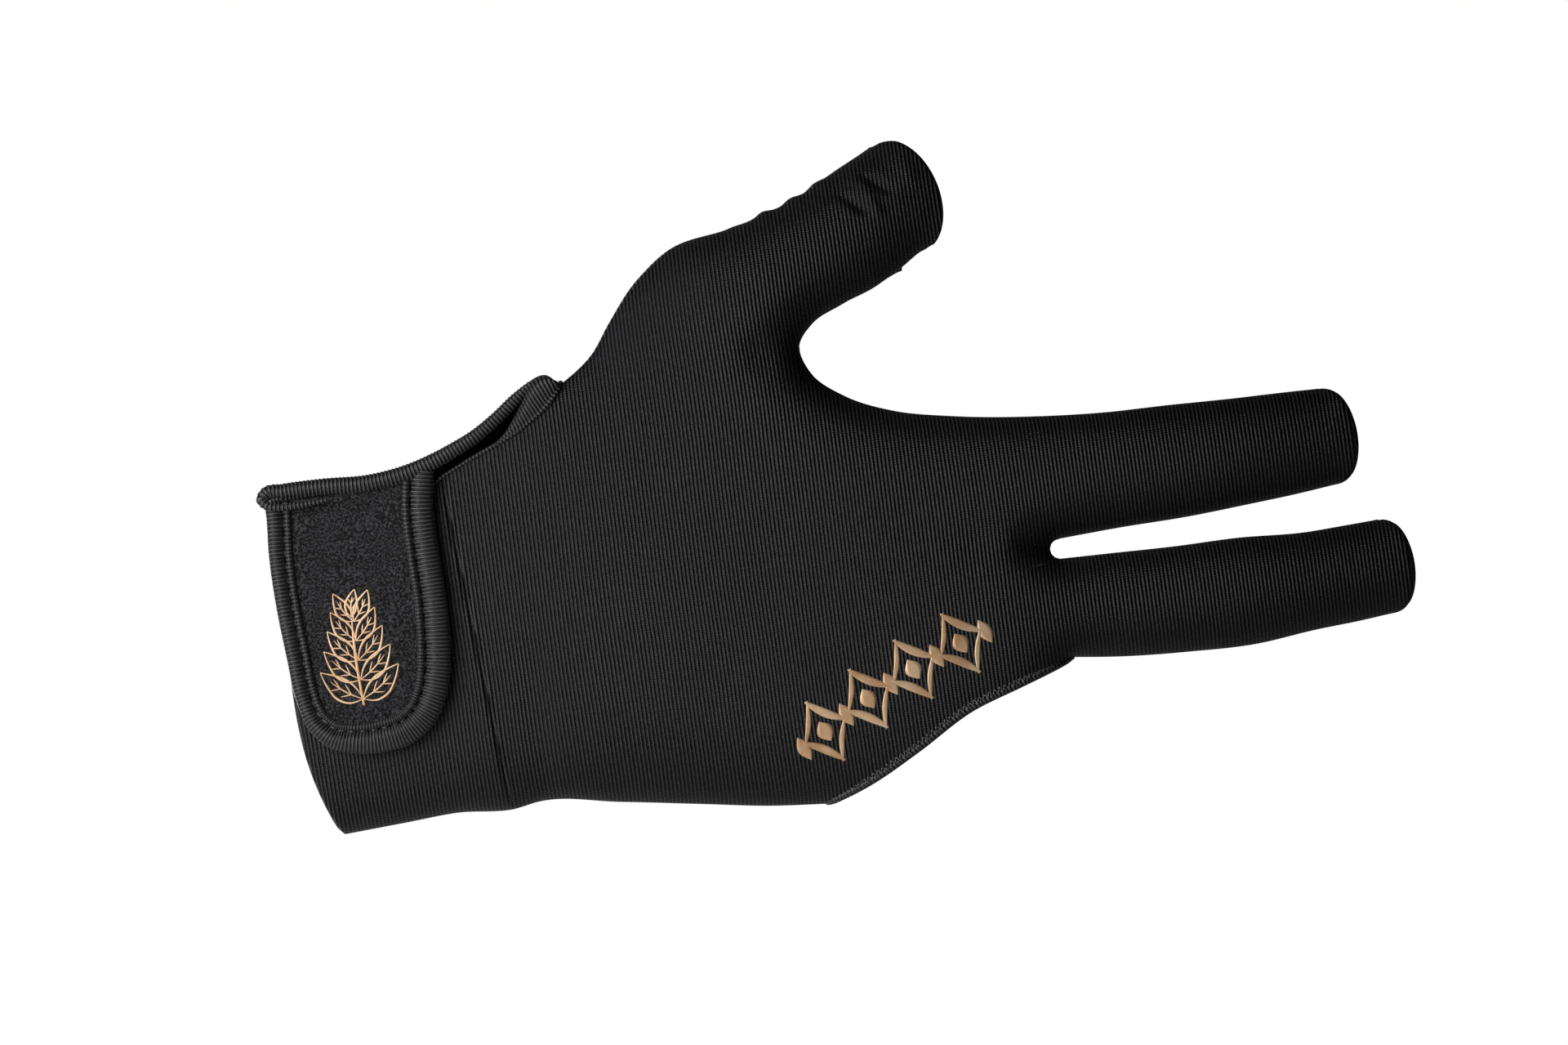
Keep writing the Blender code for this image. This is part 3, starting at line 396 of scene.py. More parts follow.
@dataclass(frozen=True)
class Fineness:
    """Numbers of faces in each block of the fine cloth."""

    cuff_columns: int = 54
    slit_columns: int = 44
    before_thumb_columns: int = 14
    thumb_columns: int = 40
    knuckle_columns: int = 56
    finger_rows: int = 34
    web_rows: int = 6
    slit_rows: int = 10
    finger_columns: int = 52
    thumb_length_rows: int = 84


def waved(start: np.ndarray, end: np.ndarray, wave: Sequence[tuple[float, float]]) -> list[np.ndarray]:
    """Points of an edge that leaves its chord by the shares in a table.

    Args:
        start: First end of the chord.
        end: Second end of the chord.
        wave: Rows of along and out, both as shares of the chord.

    Returns:
        One flat point for each row.
    """
    chord = end - start
    out = np.array((-chord[1], chord[0]))
    return [start + chord * along + out * off for along, off in wave]


class Outline:
    """The flat outline of the glove: every edge is a smooth curve with its corners as knots."""

    def __init__(self, sizes: HandSizes) -> None:
        """Builds each edge of the outline from the sizes and the tables of corners."""
        self.sizes = sizes
        s = sizes
        web = np.array((s.cuff_length + s.palm_length, WEB_ACROSS * s.palm_width))
        self.web = web
        self.index_lower_root = web + (0.0, s.web_gap / 2.0)
        self.middle_upper_root = web - (0.0, s.web_gap / 2.0)
        index_across, middle_across = across(s.index_rise), across(s.middle_rise)
        index_root = self.index_lower_root + index_across * s.index_root_width / 2.0
        middle_root = self.middle_upper_root - middle_across * s.middle_root_width / 2.0
        self.index_upper_root = self.index_lower_root + index_across * s.index_root_width
        self.middle_lower_root = self.middle_upper_root - middle_across * s.middle_root_width
        index_widths = (s.index_root_width, s.index_tip_width)
        middle_widths = (s.middle_root_width, s.middle_tip_width)
        index_lower, index_upper = self.finger_edges(
            index_root, s.index_rise, s.index_length, index_widths, INDEX_SWELL, s.index_sag
        )
        middle_lower, middle_upper = self.finger_edges(
            middle_root, s.middle_rise, s.middle_length, middle_widths, MIDDLE_SWELL, s.middle_sag
        )
        self.index_lower = Curve([self.index_lower_root, *index_lower])
        self.middle_upper = Curve([self.middle_upper_root, *middle_upper])
        self.middle_lower = Curve([self.middle_lower_root, *middle_lower])
        self.build_wrist_edges()
        self.build_thumb_edges(index_upper)

    @staticmethod
    def finger_edges(
        root: np.ndarray,
        angle: float,
        length: float,
        widths: tuple[float, float],
        swell: Sequence[tuple[float, float]],
        sag: float,
    ) -> tuple[list[np.ndarray], list[np.ndarray]]:
        """Lower and upper edge points of a finger, on a middle line that sags as a parabola.

        Args:
            root: Middle of the finger's root.
            angle: Rise of the finger from +X.
            length: Length of the finger.
            widths: Widths at its root and its tip.
            swell: Rows of along and width share.
            sag: Sag of its middle as a share of its length.

        Returns:
            The lower points and the upper points, from the root to the tip.
        """
        lower, upper = [], []
        for along, share in [*swell, (1.0, 1.0)]:
            bend = -4.0 * sag * length * along * (1.0 - along)
            middle = root + direction(angle) * length * along + across(angle) * bend
            half = 0.5 * share * (widths[0] + (widths[1] - widths[0]) * along)
            lower.append(middle - across(angle) * half)
            upper.append(middle + across(angle) * half)
        return lower, upper

    def build_wrist_edges(self) -> None:
        """The lower side, the opening of the free fingers and the two edges of the slit."""
        s = self.sizes
        cuff_lower = [s.cuff_point(row) for row in CUFF_LOWER]
        palm_lower = [s.palm_point(row) for row in LOWER_EDGE]
        self.lower = Curve([*cuff_lower, *palm_lower])
        self.lower_seam_knot = len(cuff_lower)
        start = palm_lower[-1]
        free_edge = waved(start, self.middle_lower_root, FREE_FINGER_EDGE_WAVE)
        self.opening = Curve([start, *free_edge, self.middle_lower_root])
        near = [s.cuff_point(row) for row in CUFF_NEAR]
        far = [s.cuff_point(row) for row in CUFF_FAR]
        self.near_seam_knot, self.far_seam_knot = len(near), len(far)
        self.near = Curve([*near, *[s.palm_point(row) for row in SLIT_NEAR_EDGE]])
        self.far = Curve([*far, *[s.palm_point(row) for row in SLIT_FAR_EDGE]])

    def build_thumb_edges(self, index_upper: list[np.ndarray]) -> None:
        """The thumb's outer edge, and its inner edge on through the crotch to the index tip."""
        s = self.sizes
        thumb_side = [s.palm_point(row) for row in THUMB_SIDE_EDGE]
        self.thumb_root_outer = thumb_side[-1]
        self.crotch = s.palm_point(THUMB_CROTCH)
        self.thumb_root = (self.thumb_root_outer + self.crotch) / 2.0
        end_middle = self.thumb_root + direction(s.thumb_spread) * s.thumb_length
        end_angle = s.thumb_spread + s.thumb_end_turn
        end_outer = end_middle + across(end_angle) * s.thumb_end_width / 2.0
        end_inner = end_middle - across(end_angle) * s.thumb_end_width / 2.0
        self.thumb_end, self.thumb_end_direction = end_middle, direction(end_angle)
        outer_wave = waved(self.thumb_root_outer, end_outer, THUMB_OUTER_WAVE)
        self.thumb_outer = Curve([*thumb_side, *outer_wave, end_outer])
        self.thumb_outer_knot = len(thumb_side) - 1
        turn = self.index_upper_root - self.crotch
        turns = [math.radians(angle) for angle in (22.5, 45.0, 67.5, 90.0)]
        reach = s.crotch_turn_share * turn[0]
        crotch_turn = [
            self.crotch + (reach * (1.0 - math.cos(a)), turn[1] * math.sin(a)) for a in turns
        ]
        inner_wave = waved(self.crotch, end_inner, THUMB_INNER_WAVE)
        before = [end_inner, *reversed(inner_wave), self.crotch, *crotch_turn]
        self.crotch_edge = Curve([*before, self.index_upper_root, *index_upper])
        self.crotch_knot = len(inner_wave) + 1
        self.index_root_knot = self.crotch_knot + len(crotch_turn) + 1

    def seam_forward(self, x: np.ndarray) -> np.ndarray:
        """How far the thumb-side edge lies towards the back: full at the slit, fading by a smooth step."""
        slit_end = self.near.points[-1][0]
        span = self.thumb_root_outer[0] - slit_end
        start = slit_end - self.sizes.slit_fade_before * span
        share = (x - start) / (self.sizes.slit_fade_length * span)
        return self.sizes.slit_forward * (1.0 - smooth_step(share))


def ruled(lower: np.ndarray, upper: np.ndarray, shares: np.ndarray) -> np.ndarray:
    """A grid of straight lines between two edges: lower plus share times their difference."""
    return lower[:, None, :] + shares[None, :, None] * (upper - lower)[:, None, :]


class Blocks:
    """The outline filled with grids of flat points, which share their common edges."""

    def __init__(self, outline: Outline, fine: Fineness) -> None:
        """Fills the cuff, the palm, the flap under the slit, the two fingers and the thumb."""
        self.outline, self.fine, self.sizes = outline, fine, outline.sizes
        rows = 2 * fine.finger_rows + fine.web_rows
        palm_rows = edge_spaced(rows)
        slit_shares = np.linspace(0.0, 1.0, fine.slit_columns + 1) ** 1.9
        cuff_shares = 1.0 - np.linspace(1.0, 0.0, fine.cuff_columns + 1) ** 1.7
        slit_rows = np.sin(0.5 * np.pi * np.arange(fine.slit_rows + 1) / fine.slit_rows)

        cuff_lower = outline.lower.sample(cuff_shares, 0, outline.lower_seam_knot)
        cuff_near = outline.near.sample(cuff_shares, 0, outline.near_seam_knot)
        cuff_far = outline.far.sample(cuff_shares, 0, outline.far_seam_knot)
        self.cuff = ruled(cuff_lower, cuff_near, palm_rows)
        self.cuff_slit = ruled(cuff_near, cuff_far, slit_rows)
        for grid in (self.cuff, self.cuff_slit):
            self.bow_mouth(grid, cuff_lower[0], cuff_far[0], cuff_shares)
        near = outline.near.sample(slit_shares, outline.near_seam_knot)
        far = outline.far.sample(slit_shares, outline.far_seam_knot)
        self.palm_slit = ruled(near, far, slit_rows)
        self.seam_ends = (cuff_lower[-1], cuff_near[-1])

        before_thumb = np.linspace(0.0, 1.0, fine.before_thumb_columns + 1)
        over_thumb = edge_spaced(fine.thumb_columns)
        knuckles = edge_spaced(fine.knuckle_columns)
        straight = outline.lower.sample(np.linspace(0.0, 1.0, 200), outline.lower_seam_knot)
        splits = self.sizes.lower_edge_splits
        stops = [np.zeros(1)]
        spans = zip(splits[:-1], splits[1:], strict=True)
        for (start, end), shares in zip(spans, (slit_shares, before_thumb, over_thumb), strict=True):
            stops.append((start + (end - start) * shares)[1:])
        palm_lower = Curve(straight).sample(np.concatenate(stops))
        lower = np.concatenate([palm_lower, outline.opening.sample(knuckles)[1:]])
        root_line = ruled(outline.thumb_root_outer[None], outline.crotch[None], over_thumb)[0]
        thumb_side = outline.thumb_outer.sample(before_thumb, 0, outline.thumb_outer_knot)
        turn = outline.crotch_edge.sample(knuckles, outline.crotch_knot, outline.index_root_knot)
        upper = np.concatenate([near, thumb_side[1:], root_line[1:], turn[1:]])
        self.thumb_start = fine.slit_columns + fine.before_thumb_columns
        self.opening_start = self.thumb_start + fine.thumb_columns
        towards_web = np.zeros(len(lower))
        towards_web[self.opening_start :] = smooth_step(knuckles)
        self.palm = self.palm_grid(lower, upper, palm_rows, towards_web)
        s = self.sizes
        self.index = self.finger_grid(
            outline.index_lower.sample,
            lambda shares: outline.crotch_edge.sample(shares, outline.index_root_knot),
            self.palm[-1, fine.finger_rows + fine.web_rows :],
            s.index_rise,
            s.index_tip_width,
        )
        self.middle = self.finger_grid(
            outline.middle_lower.sample,
            outline.middle_upper.sample,
            self.palm[-1, : fine.finger_rows + 1],
            s.middle_rise,
            s.middle_tip_width,
        )
        self.thumb = self.thumb_grid(over_thumb)

    def bow_mouth(
        self, grid: np.ndarray, low: np.ndarray, high: np.ndarray, shares: np.ndarray
    ) -> None:
        """Bends the mouth's edge towards the wrist by a skewed half sine of its height."""
        s = self.sizes
        down = np.clip(1.0 - (grid[0, :, 1] - low[1]) / (high[1] - low[1]), 0.0, 1.0)
        bow = s.mouth_bow * s.cuff_width * np.sin(np.pi * down**s.mouth_bow_skew)
        grid[:, :, 0] -= ((1.0 - shares) ** 2)[:, None] * bow[None, :]

    def palm_grid(
        self, lower: np.ndarray, upper: np.ndarray, rows: np.ndarray, towards_web: np.ndarray
    ) -> np.ndarray:
        """Straight columns between the two sides that turn into the finger roots and the web."""
        outline, fine = self.outline, self.fine
        spaced = edge_spaced(fine.finger_rows)
        turn = np.linspace(-np.pi / 2.0, np.pi / 2.0, fine.web_rows + 1)[1:-1]
        round_web = np.stack([-np.cos(turn), np.sin(turn)], axis=-1)
        web_line = np.concatenate(
            [
                ruled(outline.middle_lower_root[None], outline.middle_upper_root[None], spaced)[0],
                outline.web + 0.5 * self.sizes.web_gap * round_web,
                ruled(outline.index_lower_root[None], outline.index_upper_root[None], spaced)[0],
            ]
        )
        chord = web_line[-1] - web_line[0]
        web_shares = (web_line - web_line[0]) @ chord / (chord @ chord)
        leave = web_line - web_line[0] - web_shares[:, None] * chord
        shares = rows[None, :] + towards_web[:, None] * (web_shares - rows)[None, :]
        grid = lower[:, None, :] + shares[:, :, None] * (upper - lower)[:, None, :]
        return grid + (towards_web**4)[:, None, None] * leave[None, :, :]

    def finger_grid(
        self,
        lower: Callable[[np.ndarray], np.ndarray],
        upper: Callable[[np.ndarray], np.ndarray],
        root: np.ndarray,
        angle: float,
        width: float,
    ) -> np.ndarray:
        """Ruled columns along a finger, whose last ones bulge as a half ellipse at the tip.

        Args:
            lower: Function from shares to points of the lower edge.
            upper: Function from shares to points of the upper edge.
            root: Points of the root's column.
            angle: Rise of the finger.
            width: Width of its tip.

        Returns:
            Grid of flat points, columns first.
        """
        shares = np.linspace(0.0, 1.0, self.fine.finger_columns + 1) ** 1.1
        rows = edge_spaced(self.fine.finger_rows)
        grid = ruled(lower(shares), upper(shares), rows)
        grid[0] = root
        bulge = self.sizes.tip_bulge_share * width * np.sqrt(1.0 - (2.0 * rows - 1.0) ** 2)
        return grid + (shares**3)[:, None, None] * bulge[None, :, None] * direction(angle)

    def thumb_grid(self, rows: np.ndarray) -> np.ndarray:
        """Ruled rows along the thumb, with its round end and the bumps of its upper outline."""
        outline, s = self.outline, self.sizes
        shares = np.linspace(0.0, 1.0, self.fine.thumb_length_rows + 1)
        outer = outline.thumb_outer.sample(shares, outline.thumb_outer_knot)
        inner = outline.crotch_edge.sample(1.0 - shares, 0, outline.crotch_knot)
        grid = ruled(outer, inner, rows)
        bulge = s.thumb_bulge_share * s.thumb_end_width * np.sqrt(1.0 - (2.0 * rows - 1.0) ** 2)
        grid = grid + (shares**3)[:, None, None] * bulge[None, :, None] * outline.thumb_end_direction
        along = (outer - outline.thumb_root) @ direction(s.thumb_spread)
        lift = np.zeros(len(shares))
        for place, height in THUMB_EDGE_BUMPS:
            away = (along - place * MILLIMETRE) / THUMB_BUMP_HALF_WIDTH
            lift += height * MILLIMETRE * np.exp(-(away**2))
        lift -= lift.mean()
        fade = np.clip(1.0 - rows / THUMB_BUMP_REACH, 0.0, 1.0) ** 2
        ends = smooth_step(shares / 0.08) * smooth_step((1.0 - shares) / 0.08)
        shift = (lift * ends)[:, None] * fade[None, :]
        return grid + shift[:, :, None] * across(s.thumb_spread)


def quads_of(ids: np.ndarray) -> np.ndarray:
    """Faces of a grid of vertex numbers, as quads."""
    corners = [ids[:-1, :-1], ids[1:, :-1], ids[1:, 1:], ids[:-1, 1:]]
    return np.stack(corners, axis=-1).reshape(-1, 4)


def triangles_of(quads: np.ndarray) -> np.ndarray:
    """Two triangles for each quad, without those that have lost a corner."""
    both = np.concatenate([quads[:, (0, 1, 2)], quads[:, (0, 2, 3)]])
    whole = (both[:, 0] != both[:, 1]) & (both[:, 1] != both[:, 2]) & (both[:, 0] != both[:, 2])
    return both[whole]


def boundary_edges(triangles: np.ndarray) -> np.ndarray:
    """Edges used by one triangle only, each in the direction in which that triangle uses it."""
    edges = np.concatenate([triangles[:, (0, 1)], triangles[:, (1, 2)], triangles[:, (2, 0)]])
    ordered = np.sort(edges, axis=1).astype(np.int64)
    keys = ordered[:, 0] * (int(edges.max()) + 1) + ordered[:, 1]
    _, index, count = np.unique(keys, return_inverse=True, return_counts=True)
    return edges[count[index.reshape(-1)] == 1]


def summed(targets: np.ndarray, values: np.ndarray, count: int) -> np.ndarray:
    """Values added up at their target numbers."""
    if values.ndim == 1:
        return np.bincount(targets, weights=values, minlength=count)
    return np.stack([np.bincount(targets, weights=v, minlength=count) for v in values.T], axis=-1)


def vertex_normals(points: np.ndarray, triangles: np.ndarray) -> np.ndarray:
    """Sum of the cross products of the triangles round each point, scaled to length one."""
    a, b, c = (points[triangles[:, i]] for i in range(3))
    flat = np.cross(b - a, c - a)
    total = sum(summed(triangles[:, corner], flat, len(points)) for corner in range(3))
    return normalised(total)


def facing_back(grid: np.ndarray) -> tuple[np.ndarray, np.ndarray]:
    """Points of a grid in one row, and its triangles turned to face out of the back of the hand."""
    points = grid.reshape(-1, 3)
    triangles = triangles_of(quads_of(np.arange(len(points)).reshape(grid.shape[:2])))
    if vertex_normals(points, triangles)[:, 1].mean() > 0.0:
        triangles = triangles[:, ::-1]
    return points, triangles


class HandForm:
    """The filled-out glove: the hand's middle surface and its half depth over each point."""

    # The folds take at most this share of the half depth
    FOLD_LIMIT = 0.45

    def __init__(self, outline: Outline, blocks: Blocks) -> None:
        """Joins the blocks, marks their edges, and works out the middle surface and the depth."""
        self.outline, self.blocks, self.sizes = outline, blocks, outline.sizes
        grids = {
            "cuff": blocks.cuff,
            "cuff_slit": blocks.cuff_slit,
            "palm": blocks.palm,
            "palm_slit": blocks.palm_slit,
            "index": blocks.index,
            "middle": blocks.middle,
            "thumb": blocks.thumb,
        }
        every = np.concatenate([grid.reshape(-1, 2) for grid in grids.values()])
        cells = np.round(every / MERGE_SIZE).astype(np.int64)
        keys = cells[:, 0] * CELLS_IN_A_ROW + cells[:, 1]
        _, first, index = np.unique(keys, return_index=True, return_inverse=True)
        index = index.reshape(-1)
        self.flat = every[first]
        self.count = len(self.flat)
        self.ids: dict[str, np.ndarray] = {}
        start = 0
        for name, grid in grids.items():
            number = grid.shape[0] * grid.shape[1]
            self.ids[name] = index[start : start + number].reshape(grid.shape[:2])
            start += number
        self.ids["thumb"] = self.ids["thumb"].T
        self.triangles = triangles_of(np.concatenate([quads_of(ids) for ids in self.ids.values()]))
        self.mark_fields()
        self.mark_edges()
        self.middle_surface()
        self.half_depth()

    def mark_fields(self) -> None:
        """Shares up the hand and along the thumb, which steer the forward seam and the lean."""
        self.upward = np.zeros(self.count)
        for name in ("cuff", "palm"):
            self.upward[self.ids[name]] = np.linspace(0.0, 1.0, self.ids[name].shape[1])[None, :]
        for name in ("cuff_slit", "palm_slit", "thumb"):
            self.upward[self.ids[name]] = 1.0
        self.thumb_along = np.zeros(self.count)
        rows = self.ids["thumb"].shape[1]
        self.thumb_along[self.ids["thumb"]] = np.linspace(0.0, 1.0, rows)[None, :]

    def mark_edges(self) -> None:
        """Closed side seams have no depth, and the free finger opening keeps its own."""
        ids, blocks, fine = self.ids, self.blocks, self.blocks.fine
        seam = [
            ids["cuff"][:, 0],
            ids["palm"][: blocks.opening_start + 1, 0],
            ids["middle"][:, 0],
            ids["middle"][:, -1],
            ids["palm"][-1, fine.finger_rows : fine.finger_rows + fine.web_rows + 1],
            ids["index"][:, 0],
            ids["index"][:, -1],
            ids["palm"][blocks.opening_start :, -1],
            ids["thumb"][0],
            ids["thumb"][-1],
            ids["palm"][fine.slit_columns : blocks.thumb_start + 1, -1],
            ids["cuff_slit"][:, -1],
            ids["palm_slit"][:, -1],
        ]
        self.seam = np.zeros(self.count, dtype=bool)
        self.seam[np.concatenate(seam)] = True
        self.opening = ids["palm"][blocks.opening_start :, 0]

    def middle_surface(self) -> None:
        """Fingers curl and the thumb leans away from the back of the hand, both as squares."""
        s, fine = self.sizes, self.blocks.fine
        middle = np.zeros(self.count)
        rows = np.arange(self.ids["palm"].shape[1])
        web_rows = (fine.finger_rows, fine.finger_rows + fine.web_rows)
        curls = np.interp(rows, web_rows, (s.middle_curl, s.index_curl))
        lengths = np.interp(rows, web_rows, (s.middle_length, s.index_length))
        parts = (
            ("index", s.index_length, s.index_curl),
            ("middle", s.middle_length, s.middle_curl),
            ("palm", lengths[None, :], curls[None, :]),
        )
        for name, length, curl in parts:
            ids = self.ids[name]
            start = self.outline.web[0] - s.curl_start_share * length
            share = (self.flat[ids, 0] - start) / (length * (1.0 + s.curl_start_share))
            middle[ids] = curl * np.clip(share, 0.0, None) ** 2
        thumb = self.ids["thumb"]
        share = self.thumb_along[thumb]
        past_end = (self.flat[thumb] - self.outline.thumb_end) @ self.outline.thumb_end_direction
        straight = THUMB_END_LEAN_SHARE + past_end / s.thumb_length
        middle[thumb] += s.thumb_lean * (share + smooth_step(share) * (straight - share)) ** 2
        self.middle = np.stack([self.flat[:, 0], middle, self.flat[:, 1]], axis=-1)
        back = vertex_normals(self.middle, self.triangles)
        self.back = back * -np.sign(back[:, 1:2])

    def half_depth(self) -> None:
        """The half depth is the root of f, where the Laplacian of f is f / r^2 - 2.

        f is nothing along the seams, so that the side of the hand is round with the radius r, and
        far from them the half depth settles at r times the root of two.
        """
        s = self.sizes
        radius = s.hand_half_depth / math.sqrt(2.0)
        a, b, c = (self.flat[self.triangles[:, i]] for i in range(3))
        edges = np.stack([c - b, a - c, b - a], axis=1)
        area = 0.5 * np.abs((b - a)[:, 0] * (c - a)[:, 1] - (b - a)[:, 1] * (c - a)[:, 0])
        area = np.maximum(area, SMALLEST_AREA)
        stiff = np.einsum("tik,tjk->tij", edges, edges) / (4.0 * area)[:, None, None]
        stiff[:, range(3), range(3)] += (area / (3.0 * radius**2))[:, None]
        rows = np.repeat(self.triangles, 3, axis=1).reshape(-1)
        columns = np.tile(self.triangles, (1, 3)).reshape(-1)
        values = stiff.reshape(-1)
        load = summed(self.triangles.reshape(-1), np.repeat(2.0 * area / 3.0, 3), self.count)
        diagonal = summed(rows[rows == columns], values[rows == columns], self.count)

        places = self.flat[self.opening]
        steps = np.linalg.norm(np.diff(places, axis=0), axis=1)
        along = 2.0 * np.concatenate([[0.0], np.cumsum(steps)]) / steps.sum() - 1.0
        shape = (1.0 - np.abs(along) ** s.opening_roundness) ** (1.0 / s.opening_roundness)
        kept = np.zeros(self.count)
        kept[self.opening] = (s.free_finger_half_depth * shape) ** 2
        fixed = self.seam.copy()
        fixed[self.opening] = True
        free = (~fixed).astype(float)

        def pull(values_in: np.ndarray) -> np.ndarray:
            """The stiffness matrix times a field."""
            return np.bincount(rows, weights=values * values_in[columns], minlength=self.count)

        found = kept.copy()
        left = (load - pull(found)) * free
        ready = left / diagonal
        way = ready.copy()
        strength = left @ ready
        goal = SOLVER_ERROR * strength
        for _ in range(SOLVER_STEPS):
            pulled = pull(way) * free
            step = strength / (way @ pulled)
            found += step * way
            left -= step * pulled
            ready = left / diagonal
            before, strength = strength, left @ ready
            if strength < goal:
                break
            way = ready + (strength / before) * way

        narrow = smooth_step(self.flat[:, 0] / (s.cuff_length + s.curl_start_share * s.palm_length))
        share = s.wrist_depth_share + (1.0 - s.wrist_depth_share) * narrow
        self.depth = np.sqrt(np.clip(found, 0.0, None)) * share
        full = s.hand_half_depth * share
        shift = self.outline.seam_forward(self.flat[:, 0]) * smooth_step(self.upward)
        self.forward = shift * (1.0 - np.clip(self.depth / full, 0.0, 1.0))

    def folds(self) -> np.ndarray:
        """Depth of the folds: for each a Gaussian of the distance from its straight line."""
        total = np.zeros(self.count)
        for column_a, row_a, column_b, row_b, deep, wide in HAND_FOLDS:
            start = photo_point(column_a, row_a)
            line = photo_point(column_b, row_b) - start
            share = np.clip((self.flat - start) @ line / (line @ line), 0.0, 1.0)
            away = np.linalg.norm(self.flat - start - share[:, None] * line, axis=1)
            total += deep * MILLIMETRE * np.exp(-((away / (wide * MILLIMETRE)) ** 2))
        return total

    def ripple(self) -> np.ndarray:
        """Slow unevenness of stretched cloth: three slanted sines of some tens of millimetres."""
        x, z = self.flat[:, 0] / MILLIMETRE, self.flat[:, 1] / MILLIMETRE
        waves = (
            np.sin((0.94 * x + 0.34 * z) / 7.3 + 0.8)
            + 0.8 * np.sin((0.5 * x - 0.86 * z) / 5.1 + 2.1)
            + 0.6 * np.sin((0.17 * x + 0.98 * z) / 3.9 + 4.0)
        )
        return 0.055 * MILLIMETRE * waves

    def body(self) -> np.ndarray:
        """Half depth as a share of the hand's own: 0 on the seams and 1 on its flat middle."""
        return np.clip(self.depth / self.sizes.hand_half_depth, 0.0, 1.0)

    def surface(self, side: Side) -> np.ndarray:
        """Outer points of one face: the middle surface moved by the half depth along its normal.

        Args:
            side: The back or the palm side.

        Returns:
            One point for each flat point.
        """
        body = self.body()
        depth = self.depth - self.ripple() * body**2
        if side is Side.BACK:
            depth = depth - np.minimum(self.folds() * np.sqrt(body), self.FOLD_LIMIT * self.depth)
        points = self.middle + side.value * depth[:, None] * self.back
        points[:, 1] -= self.forward
        return points

    def inward(self) -> np.ndarray:
        """At each seam point the direction into the hand, within its middle surface."""
        edges = boundary_edges(self.triangles)
        edges = edges[self.seam[edges].all(axis=1)]
        step = normalised(self.flat[edges[:, 1]] - self.flat[edges[:, 0]])
        sign = -1.0 if self.signed_area() < 0.0 else 1.0
        left = sign * np.stack([-step[:, 1], np.zeros(len(step)), step[:, 0]], axis=-1)
        total = summed(edges[:, 0], left, self.count) + summed(edges[:, 1], left, self.count)
        total -= np.sum(total * self.back, axis=1, keepdims=True) * self.back
        return normalised(total)

    def signed_area(self) -> float:
        """Twice the flat area, above 0 where the triangles run anticlockwise."""
        a, b, c = (self.flat[self.triangles[:, i]] for i in range(3))
        return float(np.sum((b - a)[:, 0] * (c - a)[:, 1] - (b - a)[:, 1] * (c - a)[:, 0]))

    def seam_distance(self) -> np.ndarray:
        """Distance of each flat point from the straight line of the cuff seam, above 0 on the palm."""
        low, high = self.blocks.seam_ends
        line = normalised(high - low)
        return (self.flat - low) @ np.array((line[1], -line[0]))


@dataclass
class Mesh:
    """Points, triangles and optional texture places of one piece."""

    points: np.ndarray
    triangles: np.ndarray
    places: np.ndarray | None = None

    def as_object(self, name: str, finish: "Finish") -> bpy.types.Object:
        """Makes the mesh an object at the origin, with its finish and smooth shading.

        Args:
            name: Name of the object.
            finish: Finish of its surface.

        Returns:
            The new object.
        """
        mesh = bpy.data.meshes.new(name)
        corners = np.ascontiguousarray(self.triangles, dtype=np.int32)
        mesh.vertices.add(len(self.points))
        mesh.vertices.foreach_set("co", np.asarray(self.points, dtype=np.float32).ravel())
        mesh.loops.add(corners.size)
        mesh.loops.foreach_set("vertex_index", corners.ravel())
        mesh.polygons.add(len(corners))
        mesh.polygons.foreach_set("loop_start", np.arange(0, corners.size, 3, dtype=np.int32))
        mesh.update(calc_edges=True)
        if self.places is not None:
            layer = mesh.uv_layers.new(name="tape_places")
            uv = np.asarray(self.places[corners.ravel()], dtype=np.float32)
            layer.uv.foreach_set("vector", uv.ravel())
        mesh.validate()
        mesh.shade_smooth()
        mesh.materials.append(finish.material())
        made = bpy.data.objects.new(name, mesh)
        bpy.context.scene.collection.objects.link(made)
        LOG.info("%s: %d triangles", name, len(corners))
        return made

    def add_to_scene(self, name: str, finish: "Finish", slot: str) -> bpy.types.Object:
        """The mesh as a piece that rides on the glove, with its finish."""
        piece = self.as_object(name, finish)
        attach(piece, "root")
        return piece


def joined(meshes: Sequence[Mesh]) -> Mesh:
    """Several meshes as one, with their vertex numbers moved on."""
    starts = np.cumsum([0, *[len(mesh.points) for mesh in meshes[:-1]]])
    triangles = [mesh.triangles + start for mesh, start in zip(meshes, starts, strict=True)]
    places = None
    if all(mesh.places is not None for mesh in meshes):
        places = np.concatenate([mesh.places for mesh in meshes])
    return Mesh(np.concatenate([mesh.points for mesh in meshes]), np.concatenate(triangles), places)


